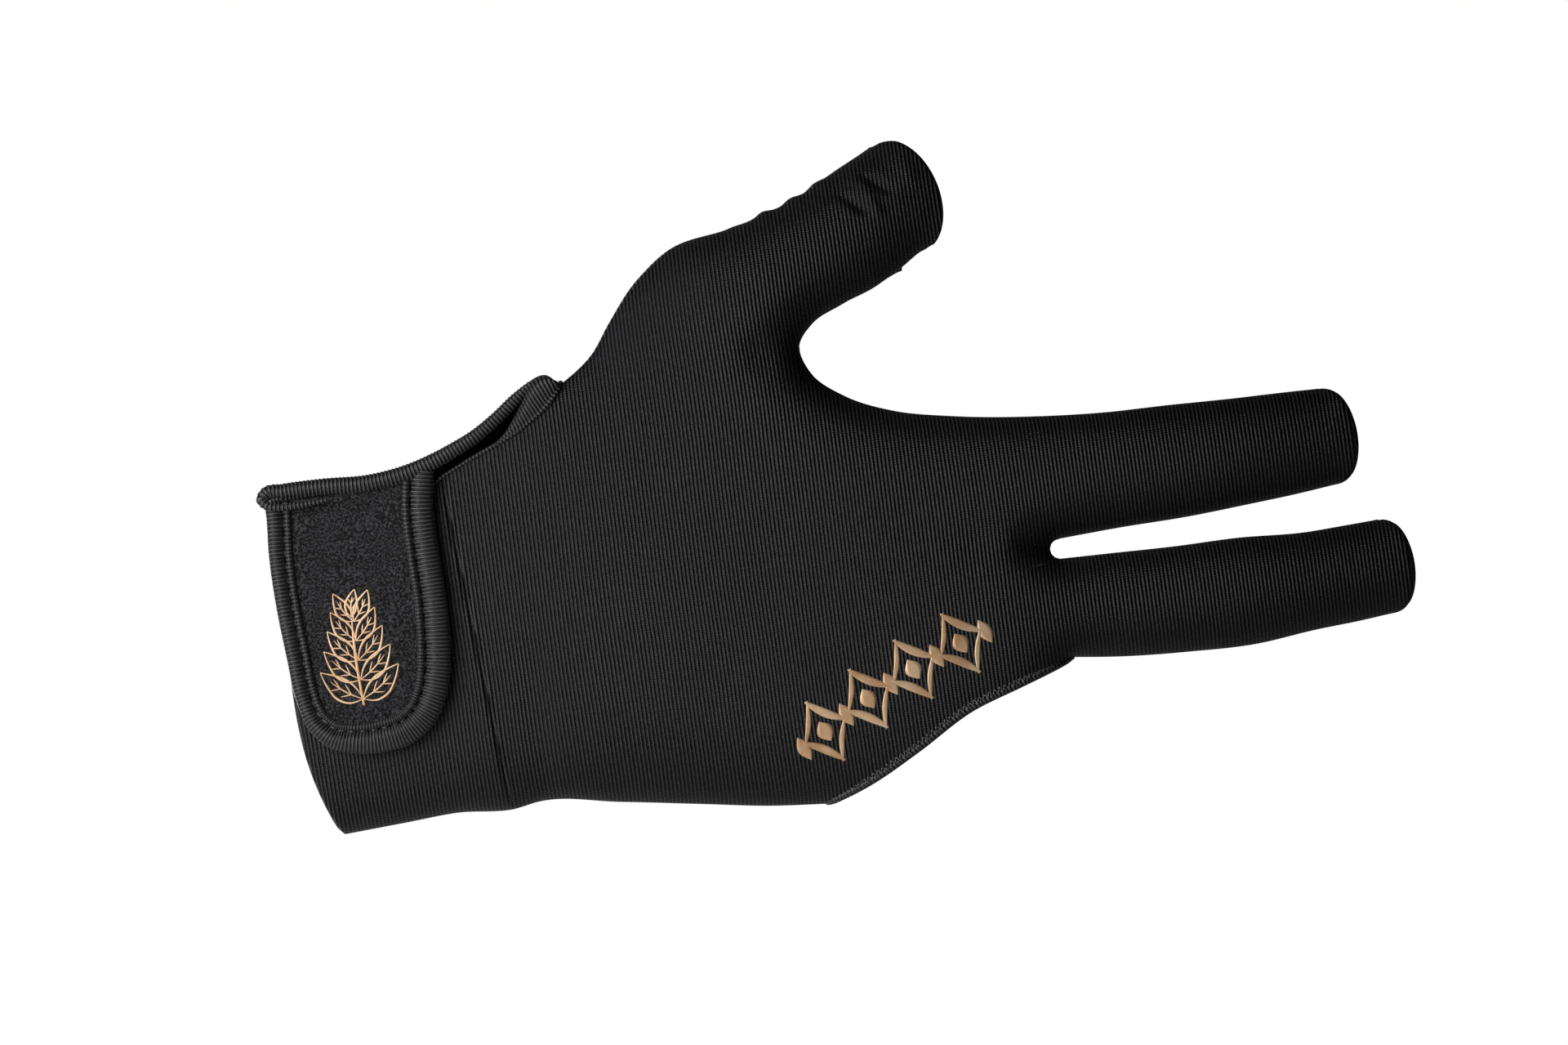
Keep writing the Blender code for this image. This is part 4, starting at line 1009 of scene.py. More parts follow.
def cloth_shell(
    points: np.ndarray, triangles: np.ndarray, inner: np.ndarray, rounding: np.ndarray
) -> Mesh:
    """A closed wall between outer and inner points, whose open rims have one rounded row.

    Args:
        points: Outer points.
        triangles: Outer faces.
        inner: Inner points, one for each outer point.
        rounding: How far each rim point's middle row stands out of the wall's end.

    Returns:
        The wall as one closed mesh.
    """
    used = np.unique(triangles)
    renumber = np.full(len(points), -1)
    renumber[used] = np.arange(len(used))
    outer_faces = renumber[triangles]
    count = len(used)
    rim = boundary_edges(outer_faces)
    outer, inside = points[used], inner[used]
    normals = vertex_normals(outer, outer_faces)
    step = outer[rim[:, 1]] - outer[rim[:, 0]]
    out = normalised(np.cross(step, normals[rim[:, 0]]))
    outward = normalised(summed(rim[:, 0], out, count) + summed(rim[:, 1], out, count))
    middle = 0.5 * (outer + inside) + outward * rounding[used][:, None]
    rows = (rim, rim + 2 * count, rim + count)
    walls = []
    for upper, lower in zip(rows[:-1], rows[1:], strict=True):
        walls.append(np.stack([upper[:, 1], upper[:, 0], lower[:, 0]], axis=-1))
        walls.append(np.stack([upper[:, 1], lower[:, 0], lower[:, 1]], axis=-1))
    faces = np.concatenate([outer_faces, outer_faces[:, ::-1] + count, *walls])
    kept = np.unique(faces)
    numbers = np.full(3 * count, -1)
    numbers[kept] = np.arange(len(kept))
    return Mesh(np.concatenate([outer, inside, middle])[kept], numbers[faces])


def swept(
    path: np.ndarray,
    outwards: np.ndarray,
    aside_share: np.ndarray,
    up_share: np.ndarray,
    way: Way = Way.OPEN,
) -> Mesh:
    """A closed profile carried along a path.

    Each point is the path's point plus the profile's first value times the direction across the
    path and its second value times the outward direction. The texture places hold the length
    travelled and the share round the profile, in metres and shares.

    Args:
        path: Points of the path.
        outwards: Outward direction at each point of the path.
        aside_share: Profile values across the path, one row for each path point.
        up_share: Profile values outwards, one row for each path point.
        way: Whether the path closes on itself.

    Returns:
        The swept tape as one closed mesh.
    """
    steps = np.roll(path, -1, axis=0) - np.roll(path, 1, axis=0)
    if way is Way.OPEN:
        steps[0] = path[1] - path[0]
        steps[-1] = path[-1] - path[-2]
    steps = normalised(steps)
    aside = normalised(np.cross(steps, outwards))
    up = np.cross(aside, steps)
    rings = (
        path[:, None, :]
        + aside_share[:, :, None] * aside[:, None, :]
        + up_share[:, :, None] * up[:, None, :]
    )
    round_share = np.arange(aside_share.shape[1]) / aside_share.shape[1]
    places = np.broadcast_arrays(travelled_along(path)[:, None], round_share[None, :])
    return tube_of(rings, np.stack(places, axis=-1), way)


def tube_of(rings: np.ndarray, places: np.ndarray, way: Way) -> Mesh:
    """A closed tube through rings of points, with a fan at each end of an open one.

    Args:
        rings: Points, one row for each ring.
        places: Texture place of each point.
        way: Whether the last ring joins the first.

    Returns:
        The tube, facing outwards.
    """
    count, sides = rings.shape[:2]
    ids = np.arange(count * sides).reshape(count, sides)
    ids = np.concatenate([ids, ids[:, :1]], axis=1)
    if way is Way.CLOSED:
        ids = np.concatenate([ids, ids[:1]], axis=0)
    triangles = triangles_of(quads_of(ids))
    points, places = rings.reshape(-1, 3), places.reshape(-1, 2)
    if way is Way.OPEN:
        first = len(points)
        start, end = ids[0], ids[-1]
        caps = [
            np.stack([start[:-1], start[1:], np.full(sides, first)], axis=-1),
            np.stack([end[1:], end[:-1], np.full(sides, first + 1)], axis=-1),
        ]
        triangles = np.concatenate([triangles, *caps])
        points = np.concatenate([points, rings[:1].mean(axis=1), rings[-1:].mean(axis=1)])
        places = np.concatenate([places, places[:1], places[-1:]])
    if outward_volume(points, triangles) < 0.0:
        triangles = triangles[:, ::-1]
    return Mesh(points, triangles, places)


def travelled_along(path: np.ndarray) -> np.ndarray:
    """Length from the start of a path to each of its points."""
    gaps = np.linalg.norm(np.diff(path, axis=0), axis=1)
    return np.concatenate([[0.0], np.cumsum(gaps)])


def outward_volume(points: np.ndarray, triangles: np.ndarray) -> float:
    """Sum over the triangles of the triple product of their corners, above 0 if they face out."""
    centred = points - points.mean(axis=0)
    a, b, c = (centred[triangles[:, i]] for i in range(3))
    return float(np.sum(np.einsum("ij,ij->i", a, np.cross(b, c))))


def linear(hex_colour: str) -> tuple[float, float, float, float]:
    """Linear colour of an sRGB hex value: the sRGB curve undone for each of its three channels.

    Args:
        hex_colour: Six hex digits with or without a leading hash.

    Returns:
        Red, green and blue as linear light, with alpha 1.
    """
    digits = hex_colour.lstrip("#")
    channels = [int(digits[i : i + 2], 16) / 255.0 for i in (0, 2, 4)]
    light = [c / 12.92 if c <= 0.04045 else ((c + 0.055) / 1.055) ** 2.4 for c in channels]
    return (light[0], light[1], light[2], 1.0)


def add_node(
    tree: bpy.types.NodeTree, kind: str, links: dict | None = None, **settings: object
) -> bpy.types.Node:
    """Adds a node with its settings, input values and links.

    Args:
        tree: Node tree that gets the node.
        kind: Blender's name of the node type.
        links: Input name or number to an output socket or to a plain value.
        **settings: Properties of the node.

    Returns:
        The new node.
    """
    node = tree.nodes.new(kind)
    for name, value in settings.items():
        setattr(node, name, value)
    for name, value in (links or {}).items():
        if isinstance(value, bpy.types.NodeSocket):
            tree.links.new(value, node.inputs[name])
        else:
            node.inputs[name].default_value = value
    return node


class Pattern:
    """The nodes of one material, with a short call for each kind that its finish uses."""

    def __init__(self, tree: bpy.types.NodeTree) -> None:
        """Starts from the tree's shader and the object's own coordinates."""
        self.tree = tree
        self.shader = tree.nodes["Principled BSDF"]
        self.place = add_node(tree, "ShaderNodeTexCoord").outputs["Object"]

    def noise(
        self, scale: float, detail: float = 2.0, roughness: float = 0.5, output: str = "Fac"
    ) -> bpy.types.NodeSocket:
        """Noise over the object's coordinates."""
        values = {"Vector": self.place, "Scale": scale, "Detail": detail, "Roughness": roughness}
        return add_node(self.tree, "ShaderNodeTexNoise", values).outputs[output]

    def bands(
        self, place: bpy.types.NodeSocket, pitch: float, way: str, distortion: float = 0.0
    ) -> bpy.types.NodeSocket:
        """A band wave that repeats at a pitch: its scale is pi tenths over the pitch."""
        values = {"Vector": place, "Scale": math.pi / 10.0 / pitch, "Distortion": distortion}
        return add_node(self.tree, "ShaderNodeTexWave", values, bands_direction=way).outputs["Fac"]

    def sum(
        self, value: bpy.types.NodeSocket, factor: float, base: bpy.types.NodeSocket | float
    ) -> bpy.types.NodeSocket:
        """The value times the factor, plus the base."""
        values = {0: value, 1: factor, 2: base}
        return add_node(self.tree, "ShaderNodeMath", values, operation="MULTIPLY_ADD").outputs[0]

    def colour(
        self,
        value: bpy.types.NodeSocket,
        hexes: tuple[str, str],
        stops: tuple[float, float] = (0.0, 1.0),
    ) -> None:
        """Base colour that runs between two sRGB colours from the first stop to the second."""
        ramp = add_node(self.tree, "ShaderNodeValToRGB", {"Fac": value})
        for element, stop, colour in zip(ramp.color_ramp.elements, stops, hexes, strict=True):
            element.position, element.color = stop, linear(colour)
        self.tree.links.new(ramp.outputs["Color"], self.shader.inputs["Base Color"])

    def bump(self, height: bpy.types.NodeSocket, strength: float, distance: float) -> None:
        """Relief of the surface from a height."""
        values = {"Strength": strength, "Distance": distance, "Height": height}
        bump = add_node(self.tree, "ShaderNodeBump", values)
        self.tree.links.new(bump.outputs["Normal"], self.shader.inputs["Normal"])


@dataclass(frozen=True)
class Finish:
    """Base of every finish: its name and the shader values that are the same all over."""

    name: str = "plain"
    roughness: float = 0.6
    metallic: float = 0.0
    specular: float = 0.5
    sheen: float = 0.0
    sheen_roughness: float = 0.3

    def material(self) -> bpy.types.Material:
        """The finish as a material, made once."""
        made = bpy.data.materials.get(self.name)
        if made is not None:
            return made
        made = bpy.data.materials.new(self.name)
        made.use_nodes = True
        pattern = Pattern(made.node_tree)
        even = {
            "Roughness": self.roughness,
            "Metallic": self.metallic,
            "Specular IOR Level": self.specular,
            "Sheen Weight": self.sheen,
            "Sheen Roughness": self.sheen_roughness,
        }
        for name, value in even.items():
            pattern.shader.inputs[name].default_value = value
        self.dress(pattern)
        return made

    def dress(self, pattern: Pattern) -> None:
        """Adds the finish's own colour and relief."""
        raise NotImplementedError


@dataclass(frozen=True)
class StretchKnit(Finish):
    """Polyamide and elastane warp knit: fine ribs across the hand, painted lit, with painted shade between
    them.
    """

    name: str = "black_stretch_knit"
    # Satin: filament yarn shines softly along each rib and stays black at a glance
    roughness: float = 0.46
    specular: float = 0.26
    sheen: float = 0.08
    sheen_roughness: float = 0.35
    # The ribs' grey is painted light and the gaps' black is painted shade
    painted_light_rib_hex: str = "#38383b"
    painted_shade_gap_hex: str = "#000000"
    # The real ribs are 0.63 mm apart, drawn at 0.8 mm so that they still show in a small picture
    rib_pitch: float = 0.80 * MILLIMETRE
    rib_height: float = 0.30 * MILLIMETRE
    loop_pitch: float = 0.50 * MILLIMETRE
    rib_slant: float = math.radians(8.0)

    def dress(self, pattern: Pattern) -> None:
        """Ribs as a slanted band wave, loops as a finer cross wave, and slow unevenness of tone; the
        colour paints light on the ribs and shade in their gaps.
        """
        tree = pattern.tree
        drift = pattern.noise(26.0, 1.0, output="Color")
        bent = add_node(
            tree,
            "ShaderNodeMixRGB",
            {"Fac": 0.0012, "Color1": pattern.place, "Color2": drift},
            blend_type="ADD",
        )
        turn = {"Vector": bent.outputs["Color"], "Rotation": (0.0, self.rib_slant, 0.0)}
        turned = add_node(tree, "ShaderNodeMapping", turn).outputs["Vector"]
        ribs = pattern.bands(turned, self.rib_pitch, "X")
        loops = pattern.bands(turned, self.loop_pitch, "Z")
        woven = pattern.sum(loops, 0.25, ribs)
        height = pattern.sum(pattern.noise(1500.0), 0.8, woven)
        clouded = pattern.sum(pattern.noise(45.0, 4.0), 0.25, height)
        tone = pattern.sum(clouded, 0.5, 0.0)
        # Painted shade in the rib gaps and painted light on the crowns, with a random tone from the clouds
        pattern.colour(tone, (self.painted_shade_gap_hex, self.painted_light_rib_hex), (0.44, 0.86))
        pattern.bump(height, 0.8, self.rib_height)


@dataclass(frozen=True)
class NappedSuede(Finish):
    """Brushed microfibre suede: a matt nap of short fibres that breaks the light into specks."""

    name: str = "black_napped_suede"
    roughness: float = 0.92
    specular: float = 0.18
    sheen: float = 0.10
    sheen_roughness: float = 0.55
    light_hex: str = "#444246"
    dark_hex: str = "#040404"
    fibre_size: float = 0.42 * MILLIMETRE
    fibre_relief: float = 0.12 * MILLIMETRE

    def dress(self, pattern: Pattern) -> None:
        """Fibres as a fine noise over faint clouds of nap."""
        fibres = pattern.noise(1.0 / self.fibre_size, 2.0, 0.6)
        both = pattern.sum(pattern.noise(320.0, 4.0), 0.12, fibres)
        pattern.colour(both, (self.dark_hex, self.light_hex), (0.50, 0.76))
        pattern.bump(both, 0.7, self.fibre_relief)


@dataclass(frozen=True)
class RibbedTape(Finish):
    """Folded grosgrain binding tape: close cross ribs, each with a painted soft glint on its crown and
    painted shade between.
    """

    name: str = "black_ribbed_tape"
    roughness: float = 0.44
    specular: float = 0.60
    sheen: float = 0.16
    sheen_roughness: float = 0.35
    # Painted glint on the rib crowns and painted shade in the gaps between them
    painted_glint_crown_hex: str = "#464649"
    painted_shade_gap_hex: str = "#010101"
    # The real ribs are 0.6 mm apart, drawn at 0.8 mm so that they still show in a small picture
    rib_pitch: float = 0.80 * MILLIMETRE
    rib_relief: float = 0.14 * MILLIMETRE

    def dress(self, pattern: Pattern) -> None:
        """Ribs read the length travelled along the tape, and yarn noise breaks them up; the colour is
        painted glint on the crowns and painted shade in the gaps.
        """
        along = add_node(pattern.tree, "ShaderNodeUVMap", uv_map="tape_places").outputs["UV"]
        ribs = pattern.bands(along, self.rib_pitch, "X")
        height = pattern.sum(pattern.noise(1900.0), 0.5, ribs)
        tone = pattern.sum(height, 0.75, 0.0)
        # Colour from the rib height: painted shade where low, painted glint where high
        pattern.colour(tone, (self.painted_shade_gap_hex, self.painted_glint_crown_hex), (0.40, 0.96))
        pattern.bump(height, 0.9, self.rib_relief)


@dataclass(frozen=True)
class SewingThread(Finish):
    """Twisted polyester sewing thread: grey-black, with a dull glint painted on each twist."""

    name: str = "black_sewing_thread"
    roughness: float = 0.45
    sheen: float = 0.1
    # The light colour is a painted glint on each ply and the dark one is painted shade between plies
    light_hex: str = "#77777a"
    dark_hex: str = "#2a2a2c"
    ply_pitch: float = 0.4 * MILLIMETRE

    def dress(self, pattern: Pattern) -> None:
        """Painted glint and shade of the twist, as a fine slanted band wave from one ply to the next."""
        twist = pattern.bands(pattern.place, self.ply_pitch, "DIAGONAL", 0.5)
        pattern.colour(twist, (self.dark_hex, self.light_hex))


@dataclass(frozen=True)
class GoldFoil(Finish):
    """Hot-stamped rose gold transfer foil: matt metal that takes the knit's grain from below."""

    name: str = "rose_gold_foil"
    roughness: float = 0.50
    metallic: float = 0.45
    light_hex: str = "#efcba4"
    dark_hex: str = "#cfa074"
    grain_relief: float = 0.05 * MILLIMETRE

    def dress(self, pattern: Pattern) -> None:
        """Clouds from rose to yellow gold with a fine pressed grain."""
        cloud = pattern.noise(140.0, 5.0)
        pattern.colour(cloud, (self.dark_hex, self.light_hex), (0.36, 0.62))
        pattern.bump(pattern.noise(2200.0, 3.0), 0.6, self.grain_relief)


@dataclass(frozen=True)
class PalePaint(Finish):
    """Matt white studio paper: pale and even, with the faintest tooth."""

    name: str = "pale_studio_paper"
    roughness: float = 0.9
    paper_hex: str = "#f4f4f2"
    tooth_relief: float = 0.1 * MILLIMETRE

    def dress(self, pattern: Pattern) -> None:
        """A very fine tooth over an even colour."""
        pattern.shader.inputs["Base Color"].default_value = linear(self.paper_hex)
        pattern.bump(pattern.noise(900.0), 0.1, self.tooth_relief)


@dataclass
class KnitHand:
    """The knit body: the back of the hand and the palm side, each with its halves of the tubes."""

    form: HandForm
    finish: Finish = field(default_factory=StretchKnit)
    lap_height: float = 0.22 * MILLIMETRE
    lap_reach: float = 0.50 * MILLIMETRE
    side_groove: float = 0.18 * MILLIMETRE
    rim_rounding: float = 0.35 * MILLIMETRE

    def lapped(self, side: Side) -> np.ndarray:
        """Outer points with the edge at the cuff seam raised by a Gaussian of the distance.

        Args:
            side: The back or the palm side.

        Returns:
            One point for each flat point of the form.
        """
        form = self.form
        points = form.surface(side)
        lap = self.lap_height * np.exp(-((form.seam_distance() / self.lap_reach) ** 2))
        lap *= form.body() ** SEAM_FADE
        points[:, 1] -= side.value * lap
        return points

    def panel(self, side: Side) -> Mesh:
        """One face of the body as a closed wall of cloth."""
        form = self.form
        names = ["palm", "index", "middle", "thumb"]
        if side is Side.PALM:
            names.append("palm_slit")
        triangles = triangles_of(np.concatenate([quads_of(form.ids[n]) for n in names]))
        points = self.lapped(side)
        if (form.signed_area() > 0.0) is not (side is Side.BACK):
            triangles = triangles[:, ::-1]
        wall = form.sizes.panel_wall
        inward = form.inward()
        points = points + self.side_groove * inward * form.seam[:, None]
        inner = points - wall * vertex_normals(points, triangles)
        inner[form.seam] = points[form.seam] + wall * inward[form.seam]
        rounding = np.full(form.count, self.rim_rounding)
        rounding[form.seam] = 0.0
        return cloth_shell(points, triangles, inner, rounding)

    def build(self) -> None:
        """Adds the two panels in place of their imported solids."""
        back = self.panel(Side.BACK).add_to_scene("back_of_hand_knit", self.finish, "hand_knit")
        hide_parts("back_panel")
        palm = self.panel(Side.PALM).add_to_scene("palm_side_knit", self.finish, "hand_knit")
        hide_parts("palm_panel")


@dataclass
class Cuff:
    """The firm knit cuff, one piece round the wrist from the slit's near edge to its far edge."""

    form: HandForm
    finish: Finish = field(default_factory=lambda: StretchKnit(name="black_cuff_knit", roughness=0.44))
    groove_depth: float = 0.85 * MILLIMETRE
    groove_reach: float = 0.85 * MILLIMETRE
    rim_rounding: float = 0.65 * MILLIMETRE

    def wall(self) -> Mesh:
        """The cuff as a closed wall: the back and palm sides joined along the lower side."""
        form = self.form
        away = np.abs(form.seam_distance())
        press = self.groove_depth * np.exp(-((away / self.groove_reach) ** 2))
        press *= form.body() ** SEAM_FADE
        back, palm = form.surface(Side.BACK), form.surface(Side.PALM)
        back[:, 1] += press
        palm[:, 1] -= press
        palm_ids = np.arange(form.count) + form.count
        palm_ids[form.ids["cuff"][:, 0]] = form.ids["cuff"][:, 0]
        back_faces = triangles_of(quads_of(form.ids["cuff"]))
        palm_faces = np.concatenate([quads_of(form.ids["cuff"]), quads_of(form.ids["cuff_slit"])])
        palm_faces = palm_ids[triangles_of(palm_faces)]
        if form.signed_area() > 0.0:
            palm_faces = palm_faces[:, ::-1]
        else:
            back_faces = back_faces[:, ::-1]
        triangles = np.concatenate([back_faces, palm_faces])
        points = np.concatenate([back, palm])
        far = np.zeros(len(points), dtype=bool)
        far[palm_ids[form.ids["cuff_slit"][:, -1]]] = True
        inward = np.concatenate([form.inward(), form.inward()])
        wall = form.sizes.cuff_wall
        inner = points - wall * vertex_normals(points, triangles)
        inner[far] = points[far] + wall * inward[far]
        rounding = np.full(len(points), self.rim_rounding)
        rounding[far] = 0.0
        return cloth_shell(points, triangles, inner, rounding)

    def build(self) -> None:
        """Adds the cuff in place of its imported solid."""
        cuff = self.wall().add_to_scene("wrist_cuff_knit", self.finish, "cuff_knit")
        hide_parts("wrist_band")


class Seat:
    """A surface on which other pieces lie, read along the line of sight."""

    def __init__(self, points: np.ndarray, triangles: np.ndarray) -> None:
        """Keeps the surface as a search tree."""
        faces = [tuple(face) for face in triangles.tolist()]
        self.tree = BVHTree.FromPolygons([Vector(p) for p in points.tolist()], faces)

    def depth_at(self, flat: np.ndarray) -> np.ndarray:
        """The y value of the surface over flat points, or of its nearest point past the edge.

        Args:
            flat: Points with x and z in their last axis.

        Returns:
            y for each of them.
        """
        values = []
        for x, z in flat.reshape(-1, 2).tolist():
            hit = self.tree.ray_cast(Vector((x, -1.0, z)), Vector((0.0, 1.0, 0.0)))[0]
            if hit is None:
                hit = self.tree.find_nearest(Vector((x, -0.0085, z)))[0]
            values.append(hit.y)
        return np.array(values).reshape(flat.shape[:-1])


@dataclass
class ClosureTab:
    """The closing tab: a suede tongue with tape folded round it, sewn on in a sunk groove."""

    seat: Seat
    clearance: float = 0.5 * MILLIMETRE
    roll_height: float = 2.9 * MILLIMETRE
    roll_foot: float = 0.8 * MILLIMETRE
    rib_height: float = 0.085 * MILLIMETRE
    lip_height: float = 2.65 * MILLIMETRE
    lip_width: float = 1.70 * MILLIMETRE
    groove_height: float = 1.15 * MILLIMETRE
    suede_height: float = 1.65 * MILLIMETRE
    suede_wall: float = 1.1 * MILLIMETRE
    stitch_pitch: float = 2.9 * MILLIMETRE
    stitch_length: float = 1.7 * MILLIMETRE
    thread: float = 0.46 * MILLIMETRE
    flatness: float = 2.2
    root_step: float = 0.022
    steps: int = 1600

    def tape_width(self, shares: np.ndarray) -> np.ndarray:
        """Width of the outer roll: narrow down the wrist side, where it turns away, full elsewhere."""
        places = (0.0, 0.10, 0.33, 0.42, 0.50, 0.72, 0.93, 1.0)
        widths = (3.5, 3.3, 3.1, 4.1, 5.0, 5.1, 4.7, 4.7)
        return np.interp(shares, places, widths) * MILLIMETRE

    def rim_frame(self, steps: int) -> tuple[np.ndarray, np.ndarray, np.ndarray]:
        """Rim points, unit vectors into the tab and lengths travelled."""
        knots = [photo_point(*pixel) for pixel in TAB_RIM]
        rim = smoothed(Curve(knots).sample(np.linspace(0.0, 1.0, steps)), steps // 12)
        return rim, left_of(rim), travelled_along(rim)

    def dome(self, share: np.ndarray) -> np.ndarray:
        """A flattened half circle over a share from 0 to 1, with the height 1 in its middle."""
        return (1.0 - np.abs(2.0 * share - 1.0) ** self.flatness) ** (1.0 / self.flatness)

    def tape(self) -> Mesh:
        """The folded tape: an outer roll, the sunk stitch groove and a small inner lip.

        The height over the seat is a flattened half circle across the roll, falls to the groove
        and rises in a second small half circle for the lip. Cross ribs are a cosine of the length
        travelled, and the groove pinches both sides in at every stitch end.

        Returns:
            The tape as one closed mesh with its length and its width as texture places.
        """
        rim, into, travelled = self.rim_frame(self.steps)
        width = self.tape_width(travelled / travelled[-1])[:, None]
        pinch = 0.5 + 0.5 * np.cos(2.0 * np.pi * travelled / self.stitch_pitch)[:, None]
        ribs = rib_wave(travelled)
        roll = np.linspace(0.0, 1.0, 19)[None, :]
        lip = np.linspace(0.0, 1.0, 9)[1:][None, :]
        dome = self.dome(roll)
        roll_low = np.where(roll < 0.5, self.roll_foot, self.groove_height)
        height = roll_low + (self.roll_height - roll_low) * dome
        height = height - 0.35 * MILLIMETRE * pinch * smooth_step((roll - 0.6) / 0.4)
        height = height + self.rib_height * ribs * dome
        lip_dome = self.dome(lip)
        lip_up = self.groove_height + (self.lip_height - self.groove_height) * lip_dome
        lip_up = lip_up - 0.25 * MILLIMETRE * pinch * (1.0 - lip)
        lip_up = lip_up + 0.7 * self.rib_height * ribs * lip_dome
        under = np.array([[1.0, 0.5, 0.0]])
        below = np.tile((0.2, 0.1, 0.1), (self.steps, 1)) * MILLIMETRE
        bottom = under * (width + self.lip_width - 0.8 * MILLIMETRE)
        flat_in = np.concatenate([roll * width, width + lip * self.lip_width, bottom], axis=1)
        up = np.concatenate([height, lip_up, below], axis=1)
        flat = rim[:, None, :] + flat_in[:, :, None] * into[:, None, :]
        ground = self.ground(rim, into, flat_in)
        points = np.stack([flat[..., 0], ground - up, flat[..., 1]], axis=-1)
        places = np.stack(np.broadcast_arrays(travelled[:, None], flat_in), axis=-1)
        return tube_of(points, places, Way.OPEN)

    def ground(self, rim: np.ndarray, into: np.ndarray, flat_in: np.ndarray) -> np.ndarray:
        """The seat's y under the tape, read on three lines along it and blended across."""
        lines = (0.6 * MILLIMETRE, 3.0 * MILLIMETRE, 6.0 * MILLIMETRE)
        coarse = slice(None, None, 12)
        numbers = np.arange(len(rim))
        read = []
        for inset in lines:
            values = self.seat.depth_at((rim + inset * into)[coarse])
            read.append(np.interp(numbers, numbers[coarse], values))
        table = smoothed(np.stack(read, axis=-1), 20)
        share = np.clip(flat_in / lines[-1], 0.0, 1.0) * 2.0
        low = table[:, :1] + (table[:, 1:2] - table[:, :1]) * np.clip(share, 0.0, 1.0)
        return low + (table[:, 2:3] - table[:, 1:2]) * np.clip(share - 1.0, 0.0, 1.0) - self.clearance

    def suede(self) -> Mesh:
        """The suede face: rows ruled from one half of the tape's inner edge to the other.

        They run from the root to the tip, and the face has a low crown in its middle.

        Returns:
            The face as one closed plate.
        """
        rim, into, travelled = self.rim_frame(481)
        inset = self.tape_width(travelled / travelled[-1]) + 0.62 * self.lip_width
        edge = smoothed(rim + inset[:, None] * into, 12)
        tip = int(np.argmin(edge[:, 1]))
        last = len(edge) - 1 - int(self.root_step * len(edge))
        rows = np.sin(0.5 * np.pi * np.linspace(0.0, 1.0, 61))
        wrist_side = Curve(edge[: tip + 1 : 4]).sample(rows * 0.999)
        finger_side = Curve(edge[last : tip - 1 : -4]).sample(rows * 0.999)
        over = np.linspace(0.0, 1.0, 41)
        flat = ruled(wrist_side, finger_side, over)
        crown = 0.35 * MILLIMETRE * np.sin(np.pi * over)[None, :] ** 0.7
        top = self.seat.depth_at(flat) - self.clearance - self.suede_height - crown
        points, triangles = facing_back(np.stack([flat[..., 0], top, flat[..., 1]], axis=-1))
        inner = points + (0.0, self.suede_wall, 0.0)
        return cloth_shell(points, triangles, inner, np.zeros(len(points)))

    def stitches(self) -> Mesh:
        """Short slanted threads in the groove, one for each stitch."""
        rim, into, travelled = self.rim_frame(self.steps)
        count = int(travelled[-1] / self.stitch_pitch)
        middles = (np.arange(count) + 0.5) * self.stitch_pitch
        shares = middles / travelled[-1]
        at = np.stack([np.interp(middles, travelled, v) for v in rim.T], axis=-1)
        way_in = normalised(np.stack([np.interp(middles, travelled, v) for v in into.T], axis=-1))
        along = np.stack([way_in[:, 1], -way_in[:, 0]], axis=-1)
        at = at + (self.tape_width(shares)[:, None] + 0.05 * MILLIMETRE) * way_in
        slant = normalised(along + 0.30 * way_in)
        ground = self.seat.depth_at(at) - self.clearance - self.groove_height
        centres = np.stack([at[:, 0], ground - 0.35 * MILLIMETRE, at[:, 1]], axis=-1)
        ways = np.stack([slant[:, 0], np.zeros(count), slant[:, 1]], axis=-1)
        return capsules(centres, ways, self.stitch_length, self.thread, 0.35 * MILLIMETRE)

    def build(self) -> None:
        """Adds the suede face, the tape and its stitches."""
        face = self.suede().add_to_scene("tab_suede_face", NappedSuede(), "tab_suede")
        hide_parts("closure_tab")
        tape = self.tape().add_to_scene("tab_folded_tape", RibbedTape(), "ribbed_tape")
        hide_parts("tab_binding")
        self.stitches().add_to_scene("tab_stitches", SewingThread(), "ribbed_tape")


def smoothed(values: np.ndarray, passes: int) -> np.ndarray:
    """Values averaged with their neighbours a number of times, with the ends kept."""
    result = values.copy()
    for _ in range(passes):
        result[1:-1] = 0.25 * result[:-2] + 0.5 * result[1:-1] + 0.25 * result[2:]
    return result


